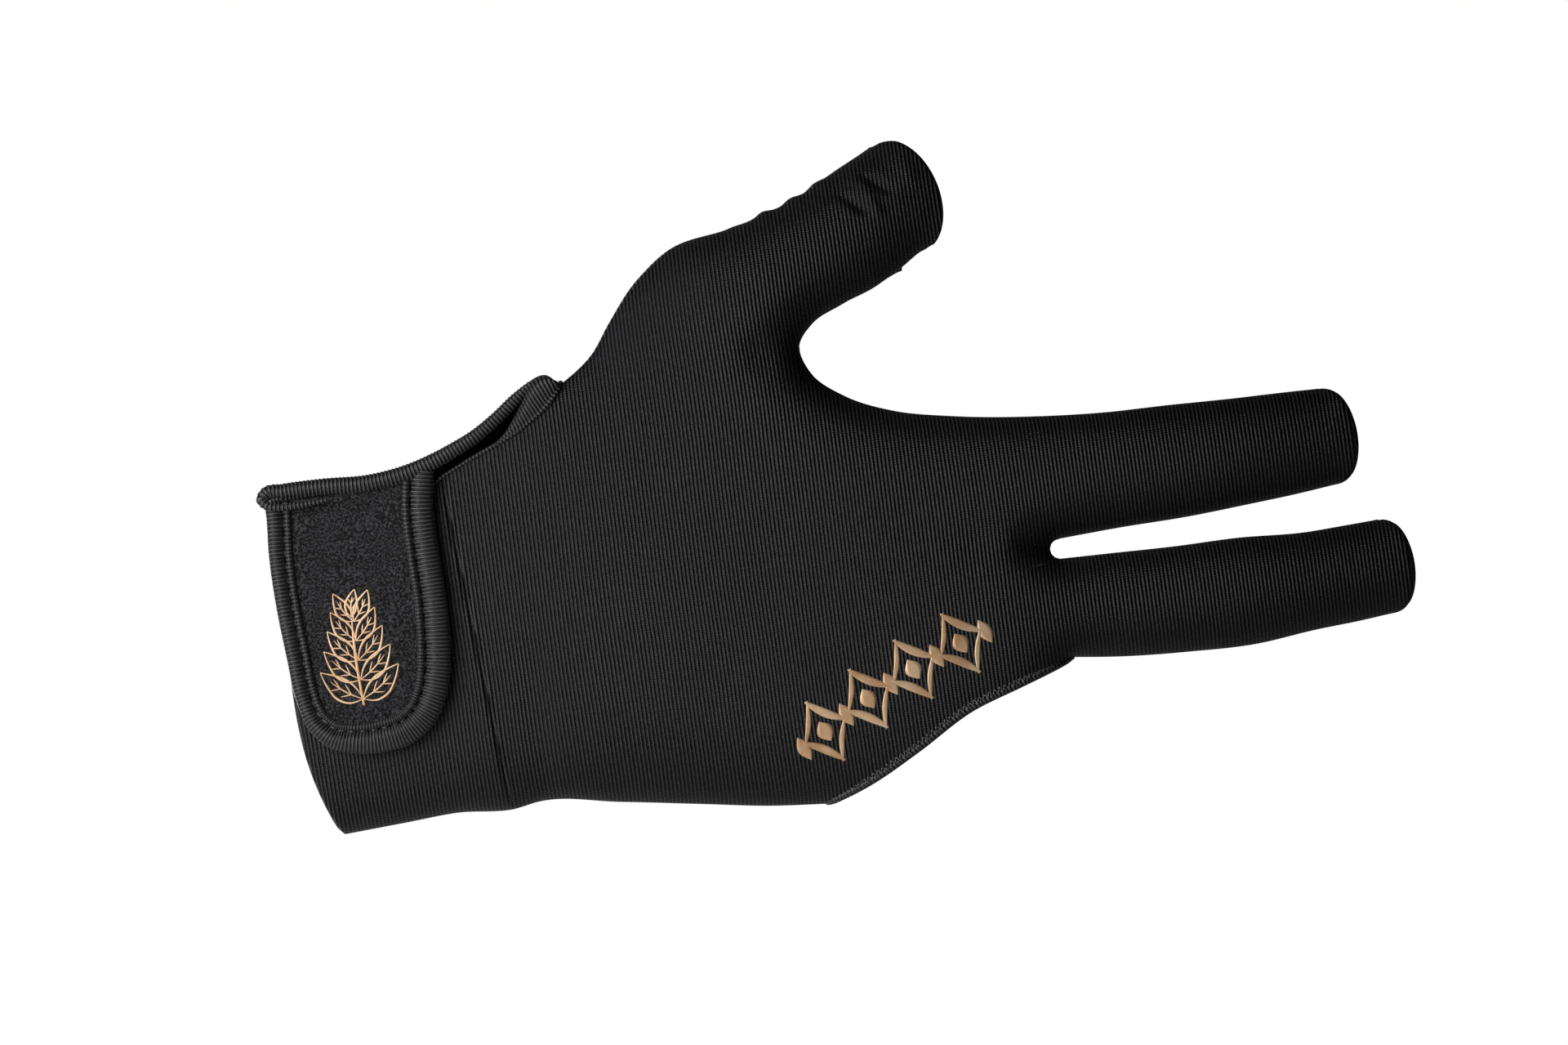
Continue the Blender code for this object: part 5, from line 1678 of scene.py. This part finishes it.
def capsules(
    centres: np.ndarray, ways: np.ndarray, length: float, thickness: float, dip: float
) -> Mesh:
    """Short round threads whose ends dip into the cloth, all as one mesh.

    Along each thread the radius is the root of one less the fourth power of the share, and the
    ends sink by the square of the share times the dip.

    Args:
        centres: Middle of each thread.
        ways: Direction of each thread.
        length: Length of a thread.
        thickness: Its diameter.
        dip: How far its ends sink away from the viewer.

    Returns:
        All threads as closed bodies.
    """
    rings, sides = 7, 6
    share = np.linspace(-0.98, 0.98, rings)
    angle = full_turn(sides)
    radius = 0.5 * thickness * (1.0 - share**4) ** 0.5
    aside = normalised(np.cross(ways, np.tile(OUT_OF_BACK, (len(centres), 1))))
    up = np.cross(aside, ways)
    middle = centres[:, None, :] + 0.5 * length * share[None, :, None] * ways[:, None, :]
    middle = middle - dip * (share**2)[None, :, None] * up[:, None, :]
    ring = np.cos(angle)[None, None, :, None] * aside[:, None, None, :]
    ring = ring + np.sin(angle)[None, None, :, None] * up[:, None, None, :]
    points = middle[:, :, None, :] + radius[None, :, None, None] * ring
    per = rings * sides
    ids = np.arange(per).reshape(rings, sides)
    ids = np.concatenate([ids, ids[:, :1]], axis=1)
    faces = triangles_of(quads_of(ids))
    fan = np.arange(1, sides - 1)
    start = np.stack([np.zeros_like(fan), fan, fan + 1], axis=-1)
    end = np.stack([np.zeros_like(fan), fan + 1, fan], axis=-1) + (rings - 1) * sides
    faces = np.concatenate([faces, start, end])
    shifts = np.arange(len(centres)) * per
    triangles = (faces[None, :, :] + shifts[:, None, None]).reshape(-1, 3)
    flat_points = points.reshape(-1, 3)
    if outward_volume(flat_points[:per], faces) < 0.0:
        triangles = triangles[:, ::-1]
    return Mesh(flat_points, triangles)


def rib_wave(lengths: np.ndarray) -> np.ndarray:
    """Cross ribs of the tape: a cosine of the length travelled, in one column."""
    return -np.cos(2.0 * np.pi * lengths / RibbedTape().rib_pitch)[:, None]


def round_profile(
    sizes: np.ndarray, sides: int, lengths: np.ndarray, rib: float, flatness: float = 1.0
) -> tuple[np.ndarray, np.ndarray]:
    """Ribbed round profile: a circle whose radius swells by a cosine of the length travelled.

    Args:
        sizes: Diameter at each point of the path.
        sides: Number of points round the profile.
        lengths: Length travelled at each point of the path.
        rib: Height of a rib.
        flatness: Share of the height that the profile keeps.

    Returns:
        Values across the path and outwards.
    """
    angle = full_turn(sides)
    front = np.abs(np.sin(angle / 2.0 + np.pi / 4.0))
    radius = 0.5 * sizes[:, None] + rib * rib_wave(lengths) * front[None, :] ** 0.2
    return radius * np.cos(angle)[None, :], flatness * radius * np.sin(angle)[None, :]


@dataclass
class SlitBinding:
    """The tape round the slit: thick roll, hairpin lip, thin near edge and the turned wide face."""

    form: HandForm
    seat: Seat
    seam_gap: float = 0.3 * MILLIMETRE
    roll_rise: float = 1.3 * MILLIMETRE
    edge_diameter: float = 0.85 * MILLIMETRE
    face_rise: float = 2.8 * MILLIMETRE
    face_turn: float = 1.9 * MILLIMETRE
    face_wall: float = 0.7 * MILLIMETRE
    roll_rib: float = 0.075 * MILLIMETRE
    lip_front: float = 14.6 * MILLIMETRE
    hairpin_front: tuple[float, float, float] = (0.0134, 0.0139, 0.0144)

    def roll(self) -> Mesh:
        """The thick roll on the far edge, its hairpin at the wrist end and the lip that comes back."""
        rows = np.array((*FAR_ROLL, *HAIRPIN, *LIP), dtype=float)
        flat = np.stack([photo_point(column, row) for column, row, _ in rows])
        sizes = rows[:, 2] * MILLIMETRE
        y = -self.form.outline.seam_forward(flat[:, 0]) - self.seam_gap - 0.5 * sizes
        y -= self.roll_rise * (1.0 - smooth_step((flat[:, 0] - 0.020) / 0.018))
        y[len(FAR_ROLL) : -len(LIP)] = -np.array(self.hairpin_front)
        y[-len(LIP) :] = -self.lip_front
        knots = np.stack([flat[:, 0], y, flat[:, 1], sizes], axis=-1)
        both = Curve(knots).sample(np.linspace(0.0, 1.0, 1200))
        path, thick = both[:, :3], both[:, 3]
        aside, up = round_profile(thick, 26, travelled_along(path), self.roll_rib)
        return swept(path, np.tile(OUT_OF_BACK, (len(path), 1)), aside, up)

    def near_edge(self) -> Mesh:
        """The thin tape on the near edge of the slit, which swells towards the slit's end."""
        form, fine = self.form, self.form.blocks.fine
        edge = form.surface(Side.BACK)[form.ids["palm"][: fine.slit_columns + 1, -1]]
        cuff_edge = form.surface(Side.BACK)[form.ids["cuff"][:, -1]]
        line = np.concatenate([cuff_edge[-12:-1], edge])
        knots = line.copy()
        knots[:, (0, 2)] += 0.25 * self.edge_diameter * left_of(line[:, (0, 2)])
        knots[:, 1] -= 0.1 * MILLIMETRE
        path = Curve(knots).sample(np.linspace(0.0, 1.0, 420))
        lengths = travelled_along(path)
        share = lengths / lengths[-1]
        sizes = self.edge_diameter * (0.75 + 0.45 * smooth_step(share))
        aside, up = round_profile(sizes, 14, lengths, 0.04 * MILLIMETRE)
        return swept(path, np.tile(OUT_OF_BACK, (len(path), 1)), aside, up)

    def wide_face(self) -> Mesh:
        """The tape's flat inner face at the slit's end, ruled from the far roll to the near edge.

        It stands a little proud in its middle by a half sine. Its dark side turns into the slit by
        the square of the share that is left to the edge.

        Returns:
            The face as one closed wall whose ribs run across it.
        """
        along = np.linspace(0.0, 1.0, 220)
        over = np.linspace(0.0, 1.0, 28)
        far = Curve([photo_point(*pixel) for pixel in FACE_FAR_SIDE]).sample(along)
        near = Curve([photo_point(*pixel) for pixel in FACE_NEAR_SIDE]).sample(along)
        flat = ruled(far, near, over)
        y_far = -self.form.outline.seam_forward(far[:, 0]) - self.face_rise
        y_near = self.seat.depth_at(near - (0.0, 0.4 * MILLIMETRE)) - 0.35 * MILLIMETRE
        y = y_far[:, None] + (y_near - y_far)[:, None] * over[None, :]
        wide = np.clip(np.linalg.norm(near - far, axis=1) / (3.0 * MILLIMETRE), 0.0, 1.0)[:, None]
        y = y - 0.45 * MILLIMETRE * wide * np.sin(np.pi * over)[None, :]
        y = y + self.face_turn * wide * np.clip(1.0 - over / 0.30, 0.0, 1.0)[None, :] ** 2
        travelled = travelled_along(0.5 * (far + near))
        ribs = rib_wave(travelled)
        y = y - 0.06 * MILLIMETRE * ribs * wide
        points, triangles = facing_back(np.stack([flat[..., 0], y, flat[..., 1]], axis=-1))
        inner = points + (0.0, self.face_wall, 0.0)
        mesh = cloth_shell(points, triangles, inner, np.full(len(points), 0.2 * MILLIMETRE))
        places = np.stack(np.broadcast_arrays(travelled[:, None], over[None, :]), axis=-1)
        places = places.reshape(-1, 2)
        rim = np.unique(boundary_edges(triangles))
        mesh.places = np.concatenate([places, places, places[rim]])
        return mesh

    def build(self) -> None:
        """Adds the three stretches of the tape as one piece."""
        tape = joined([self.roll(), self.near_edge(), self.wide_face()])
        piece = tape.add_to_scene("slit_folded_tape", RibbedTape(), "ribbed_tape")
        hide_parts("slit_binding")


@dataclass
class FreeFingerHem:
    """The narrow hem round the opening of the ring and little fingers, with its zigzag thread."""

    form: HandForm
    width: float = 1.55 * MILLIMETRE
    thickness: float = 1.15 * MILLIMETRE
    end_reach: float = 6.0 * MILLIMETRE
    zigzag_pitch: float = 1.15 * MILLIMETRE
    zigzag_width: float = 0.95 * MILLIMETRE
    thread: float = 0.24 * MILLIMETRE

    def edge(self) -> tuple[np.ndarray, np.ndarray, np.ndarray]:
        """The opening's edge as a closed path, with directions out of the cloth and along it out.

        Returns:
            Points, outward normals of the cloth, and in-surface directions away from the cloth.
        """
        form = self.form
        ids = form.opening
        flat = form.flat[ids]
        step = normalised(np.gradient(flat, axis=0))
        away = np.stack([step[:, 1], np.zeros(len(step)), -step[:, 0]], axis=-1)
        sides, normals = [], []
        for side in (Side.BACK, Side.PALM):
            points = form.surface(side)
            sides.append(points[ids])
            normal = vertex_normals(points, form.triangles)[ids]
            normals.append(normal * np.sign(normal[:, 1:2]) * -side.value)
        path = np.concatenate([sides[0], sides[1][-2:0:-1]])
        out = np.concatenate([normals[0], normals[1][-2:0:-1]])
        beyond = np.concatenate([away, away[-2:0:-1]])
        return path, out, beyond

    def resampled(self, count: int) -> tuple[np.ndarray, np.ndarray, np.ndarray, np.ndarray]:
        """The closed edge at even steps, with its two directions and lengths travelled."""
        path, out, beyond = self.edge()
        loop = np.concatenate([path, path[:1]])
        lengths = travelled_along(loop)
        wanted = np.linspace(0.0, lengths[-1], count + 1)[:-1]

        def along(values: np.ndarray) -> np.ndarray:
            """Values of the closed edge at the wanted lengths."""
            closed = np.concatenate([values, values[:1]])
            return np.stack([np.interp(wanted, lengths, v) for v in closed.T], axis=-1)

        return along(path), normalised(along(out)), normalised(along(beyond)), wanted

    def slim_ends(self, path: np.ndarray) -> np.ndarray:
        """Share of the full size: small at both ends of the opening, full by a smooth step."""
        ends = self.form.surface(Side.BACK)[self.form.opening[[0, -1]]]
        away = np.linalg.norm(path[:, None, :] - ends[None, :, :], axis=-1).min(axis=1)
        return 0.30 + 0.70 * smooth_step(away / self.end_reach)

    def band(self) -> Mesh:
        """The folded hem: a flattened oval with small puckers where the thread pulls it in."""
        path, out, beyond, lengths = self.resampled(900)
        middle = path + beyond * 0.10 * self.width - out * 0.25 * self.thickness
        pucker = 1.0 + 0.07 * np.cos(2.0 * np.pi * lengths / self.zigzag_pitch)
        slim = self.slim_ends(path)[:, None]
        middle = path + (middle - path) * slim
        angle = full_turn(12)
        wide = 0.5 * self.width * slim * np.cos(angle)[None, :]
        high = 0.5 * self.thickness * slim * pucker[:, None] * np.sin(angle)[None, :]
        return swept(middle, out, wide, high, Way.CLOSED)

    def zigzag(self) -> Mesh:
        """The zigzag thread over the hem's inner edge, a triangle wave across the path."""
        path, out, beyond, lengths = self.resampled(1400)
        wave = 2.0 * np.abs((lengths / self.zigzag_pitch) % 1.0 - 0.5) - 0.5
        slim = self.slim_ends(path)[:, None]
        middle = path - beyond * slim * (0.55 * self.width - self.zigzag_width * wave[:, None])
        middle = middle + out * 0.30 * self.thickness * slim
        angle = full_turn(6)
        wide = 0.5 * self.thread * np.broadcast_to(np.cos(angle), (len(path), 6))
        high = 0.5 * self.thread * np.broadcast_to(np.sin(angle), (len(path), 6))
        return swept(middle, out, wide, high, Way.CLOSED)

    def build(self) -> None:
        """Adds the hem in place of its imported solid, and the thread on it."""
        band = self.band().add_to_scene("free_finger_hem_band", RibbedTape(), "ribbed_tape")
        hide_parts("finger_opening_hem")
        self.zigzag().add_to_scene("free_finger_hem_thread", SewingThread(), "ribbed_tape")


@dataclass
class FoilStroke:
    """One stroke of a foil ornament: a flat line with a width that swells along it."""

    line: np.ndarray
    width: float
    start_share: float = 0.35
    end_share: float = 0.35
    swell: float = 1.0


@dataclass
class FoilPrint:
    """Foil ornaments pressed on the cloth, as ribbons with a low dome."""

    seat: Seat
    name: str
    rise: float = 0.05 * MILLIMETRE
    sink: float = 0.25 * MILLIMETRE
    steps: int = 36
    across_steps: int = 5

    def ribbon(self, stroke: FoilStroke) -> Mesh:
        """One stroke laid on the seat.

        The half width swells from its start share to full and back by a half sine of the share
        along the stroke, and the height over the seat is a low parabola across it.

        Args:
            stroke: The stroke to lay.

        Returns:
            The stroke as a closed mesh.
        """
        shares = np.linspace(0.0, 1.0, self.steps)
        line = Curve(stroke.line).sample(shares)
        ends = stroke.start_share + (stroke.end_share - stroke.start_share) * shares
        full = np.sin(np.pi * shares) ** stroke.swell
        half = 0.5 * stroke.width * (ends + (1.0 - ends) * full)
        over = np.linspace(-1.0, 1.0, self.across_steps)
        aside = (half[:, None] * over[None, :])[:, :, None] * left_of(line)[:, None, :]
        flat = line[:, None, :] + aside
        ground = self.seat.depth_at(flat)
        top = ground - self.rise * (0.35 + 0.65 * (1.0 - over[None, :] ** 2))
        outer, triangles = facing_back(np.stack([flat[..., 0], top, flat[..., 1]], axis=-1))
        inner = np.stack([flat[..., 0], ground + self.sink, flat[..., 1]], axis=-1)
        return cloth_shell(outer, triangles, inner.reshape(-1, 3), np.zeros(len(outer)))

    def build(self, strokes: Sequence[FoilStroke]) -> None:
        """Adds all strokes as one piece."""
        meshes = [self.ribbon(stroke) for stroke in strokes]
        joined(meshes).add_to_scene(self.name, GoldFoil(), "hand_knit")


@dataclass
class LozengeBand:
    """A chain of lozenges across the knuckles, on a gently arched line."""

    start: np.ndarray = field(default_factory=lambda: photo_point(985.0, 915.0))
    end: np.ndarray = field(default_factory=lambda: photo_point(1205.0, 772.0))
    arch: float = 1.6 * MILLIMETRE
    lozenges: int = 4
    height: float = 13.6 * MILLIMETRE
    stroke_width: float = 1.75 * MILLIMETRE
    overshoot: float = 0.06

    def strokes(self) -> list[FoilStroke]:
        """Large open lozenges with a small solid one inside, and small ones between them."""
        chord = self.end - self.start
        length = float(np.linalg.norm(chord))
        ahead = chord / length
        up = np.array((-ahead[1], ahead[0]))
        pitch = length / self.lozenges
        made: list[FoilStroke] = []

        def on_arch(share: float) -> np.ndarray:
            """Point at a share of the band's length, on its arched middle line."""
            return self.start + chord * share + up * self.arch * 4.0 * share * (1.0 - share)

        for number in range(self.lozenges):
            centre = on_arch((number + 0.5) / self.lozenges)
            made += self.open_lozenge(centre, ahead, up, 0.44 * pitch, 0.5 * self.height)
            made.append(self.solid_lozenge(centre, up, 0.17 * self.height, 0.16 * pitch))
        for number in range(self.lozenges + 1):
            centre = on_arch(number / self.lozenges)
            made.append(self.solid_lozenge(centre, up, 0.20 * self.height, 0.13 * pitch))
        return made

    def open_lozenge(
        self, centre: np.ndarray, ahead: np.ndarray, up: np.ndarray, half_wide: float, half_high: float
    ) -> list[FoilStroke]:
        """Four strokes with hollow sides between the points of a lozenge."""
        corners = [centre - ahead * half_wide, centre + up * half_high]
        corners += [centre + ahead * half_wide, centre - up * half_high]
        made = []
        for number in range(4):
            first, last = corners[number], corners[(number + 1) % 4]
            middle = (first + last) / 2.0 + 0.12 * (centre - (first + last) / 2.0)
            a = first + self.overshoot * (first - last)
            b = last + self.overshoot * (last - first)
            heavy = self.stroke_width if number % 2 else 0.62 * self.stroke_width
            made.append(FoilStroke(np.array([a, middle, b]), heavy, 0.14, 0.14, 0.8))
        return made

    @staticmethod
    def solid_lozenge(centre: np.ndarray, up: np.ndarray, half_high: float, wide: float) -> FoilStroke:
        """One short stroke that swells to a filled lozenge."""
        line = np.array([centre - up * half_high, centre, centre + up * half_high])
        return FoilStroke(line, 2.0 * wide, 0.02, 0.02, 1.1)


@dataclass
class LeafSpray:
    """An upright spray of veined leaves on the tab, drawn in thin outlines."""

    root: np.ndarray = field(default_factory=lambda: photo_point(449.0, 862.0))
    lean: float = math.radians(97.0)
    height: float = 22.0 * MILLIMETRE
    pairs: int = 5
    leaf: float = 10.2 * MILLIMETRE
    stroke_width: float = 0.46 * MILLIMETRE
    sway: float = 0.5 * MILLIMETRE

    def strokes(self) -> list[FoilStroke]:
        """A stem, pairs of leaves that shorten towards the top, and one leaf at its end."""
        ahead = direction(self.lean)
        side = across(self.lean)
        shares = (0.0, 0.3, 0.6, 0.82)
        sway = [side * self.sway * math.sin(3.0 * share) for share in shares]
        stem = [self.root + ahead * self.height * t + off for t, off in zip(shares, sway, strict=True)]
        made = [FoilStroke(np.array(stem), self.stroke_width * 1.3, 0.8, 0.3)]
        for number in range(self.pairs):
            share = 0.06 + 0.72 * number / (self.pairs - 1)
            foot = self.root + ahead * self.height * share
            size = self.leaf * (1.0 - 0.42 * share)
            for hand in (-1.0, 1.0):
                angle = self.lean + hand * math.radians(66.0 - 30.0 * share)
                made += self.leaf_strokes(foot, angle, size, hand)
        made += self.leaf_strokes(stem[-1], self.lean, 0.55 * self.leaf, 1.0)
        return made

    def leaf_strokes(self, foot: np.ndarray, angle: float, size: float, hand: float) -> list[FoilStroke]:
        """Outline, vein and two side veins of one leaf, which bends up towards the stem's top."""
        ahead, side = direction(angle), across(angle) * -hand
        tip = foot + ahead * size + side * 0.22 * size

        def bowed(out: float) -> np.ndarray:
            """A line from foot to tip that bows out by a share of the leaf's size."""
            shares = np.array((0.0, 0.25, 0.5, 0.75, 1.0))
            chord = tip - foot
            bow = np.sin(np.pi * shares**0.85)[:, None] * out * size
            bend = (shares * (1.0 - shares))[:, None] * -0.35 * size
            return foot + shares[:, None] * chord + bow * side + bend * side

        vein = bowed(0.02)
        made = [
            FoilStroke(bowed(0.24), self.stroke_width, 0.4, 0.4),
            FoilStroke(bowed(-0.20), self.stroke_width, 0.4, 0.4),
            FoilStroke(vein[:4], 0.7 * self.stroke_width, 0.6, 0.3),
        ]
        for share, out in ((1, 0.16), (2, 0.14), (1, -0.12), (2, -0.11)):
            start = vein[share]
            end = start + ahead * 0.20 * size + side * out * size
            line = np.array([start, (start + end) / 2.0, end])
            made.append(FoilStroke(line, 0.6 * self.stroke_width, 0.5, 0.3))
        return made


# Soft boxes: name, place from the middle of the glove, width and height, and power in watts
SOFT_BOXES = (
    ("key_soft_box", (-0.34, -0.30, 0.08), (0.28, 0.30), 2.1),
    ("low_soft_box", (-0.22, -0.95, -0.95), (0.60, 0.30), 3.2),
    ("low_back_soft_box", (-0.10, 0.75, -0.90), (0.70, 0.40), 4.0),
    ("palm_side_soft_box", (-0.35, 1.15, -0.05), (0.60, 0.50), 5.0),
)


@dataclass
class Studio:
    """Pale floor, white surround, soft lights and the long-lens camera of the photograph."""

    look_at: tuple[float, float, float] = (0.0980, 0.0, 0.02892)
    frame_width: float = 0.3200
    lens_mm: float = 250.0
    sensor_mm: float = 36.0
    floor_drop: float = -0.125
    floor_size: float = 0.70
    world_light: float = 0.012

    def add_camera(self) -> None:
        """Camera straight before the back of the hand, as far off as its lens needs."""
        data = bpy.data.cameras.new("camera")
        data.lens = self.lens_mm
        data.sensor_width = self.sensor_mm
        data.sensor_fit = "HORIZONTAL"
        data.clip_end = 50.0
        camera = bpy.data.objects.new("camera", data)
        distance = self.frame_width * self.lens_mm / self.sensor_mm
        camera.location = (self.look_at[0], -distance, self.look_at[2])
        camera.rotation_euler = (math.pi / 2.0, 0.0, 0.0)
        bpy.context.scene.collection.objects.link(camera)
        bpy.context.scene.camera = camera

    def add_floor(self) -> None:
        """A round pale floor below the glove, out of the main view."""
        turns = np.linspace(0.0, 2.0 * np.pi, 97)[:-1]
        rings = np.linspace(0.0, 1.0, 14)[1:]
        ring = np.stack([np.cos(turns), np.sin(turns)], axis=-1)
        flat = self.floor_size * rings[:, None, None] * ring[None, :, :]
        points = np.zeros((flat.shape[0], flat.shape[1], 3))
        points[..., :2] = flat
        points[..., 0] += self.look_at[0]
        points[..., 2] = self.floor_drop - 0.02 * (rings**6)[:, None]
        ids = np.arange(points.shape[0] * points.shape[1]).reshape(points.shape[:2])
        ids = np.concatenate([ids, ids[:, :1]], axis=1)
        middle = points[0].mean(axis=0)
        number = points.shape[0] * points.shape[1]
        fan = np.stack([ids[0, :-1], ids[0, 1:], np.full(len(turns), number)], axis=-1)
        triangles = np.concatenate([triangles_of(quads_of(ids)), fan[:, ::-1]])
        whole = np.concatenate([points.reshape(-1, 3), middle[None]])
        floor = Mesh(whole, triangles).as_object("studio_floor", PalePaint())

    def add_light(
        self, name: str, place: tuple[float, float, float], size: tuple[float, float], watts: float
    ) -> None:
        """A soft box that faces the middle of the glove.

        Args:
            name: Name of the light.
            place: Where it stands, from the middle of the glove.
            size: Its width and height.
            watts: Its power.
        """
        data = bpy.data.lights.new(name, "AREA")
        data.shape = "RECTANGLE"
        data.size, data.size_y = size
        data.energy = watts
        light = bpy.data.objects.new(name, data)
        target = Vector(self.look_at)
        light.location = target + Vector(place)
        light.rotation_euler = (target - light.location).to_track_quat("-Z", "Y").to_euler()
        bpy.context.scene.collection.objects.link(light)

    def add_world(self) -> None:
        """A surround that looks white and lights the glove only faintly."""
        world = bpy.data.worlds.new("white_surround")
        bpy.context.scene.world = world
        world.use_nodes = True
        tree = world.node_tree
        tree.nodes.clear()
        path = add_node(tree, "ShaderNodeLightPath")
        white = linear("#ffffff")
        seen = add_node(tree, "ShaderNodeBackground", {"Color": white, "Strength": 1.0})
        lit = add_node(tree, "ShaderNodeBackground", {"Color": white, "Strength": self.world_light})
        mixed = add_node(
            tree,
            "ShaderNodeMixShader",
            {0: path.outputs["Is Camera Ray"], 1: lit.outputs[0], 2: seen.outputs[0]},
        )
        add_node(tree, "ShaderNodeOutputWorld", {"Surface": mixed.outputs[0]})

    def build(self) -> None:
        """Adds the camera, floor, lights and surround."""
        self.add_camera()
        self.add_floor()
        self.add_world()
        for name, place, size, watts in SOFT_BOXES:
            self.add_light(name, place, size, watts)
        bpy.context.scene.view_settings.view_transform = "Standard"


def main() -> None:
    """Builds the studio and every piece of the glove."""
    logging.basicConfig(level=logging.INFO, format="%(name)s %(message)s")
    Studio().build()
    outline = Outline(HandSizes())
    form = HandForm(outline, Blocks(outline, Fineness()))
    LOG.info("hand form: %d points", form.count)
    KnitHand(form).build()
    Cuff(form).build()
    seat = Seat(form.surface(Side.BACK), form.triangles)
    tab = ClosureTab(seat)
    tab.build()
    SlitBinding(form, seat).build()
    FreeFingerHem(form).build()
    FoilPrint(seat, "knuckle_foil_band").build(LozengeBand().strokes())
    suede = tab.suede()
    FoilPrint(Seat(suede.points, suede.triangles), "tab_foil_spray").build(LeafSpray().strokes())


if __name__ == "__main__":
    main()
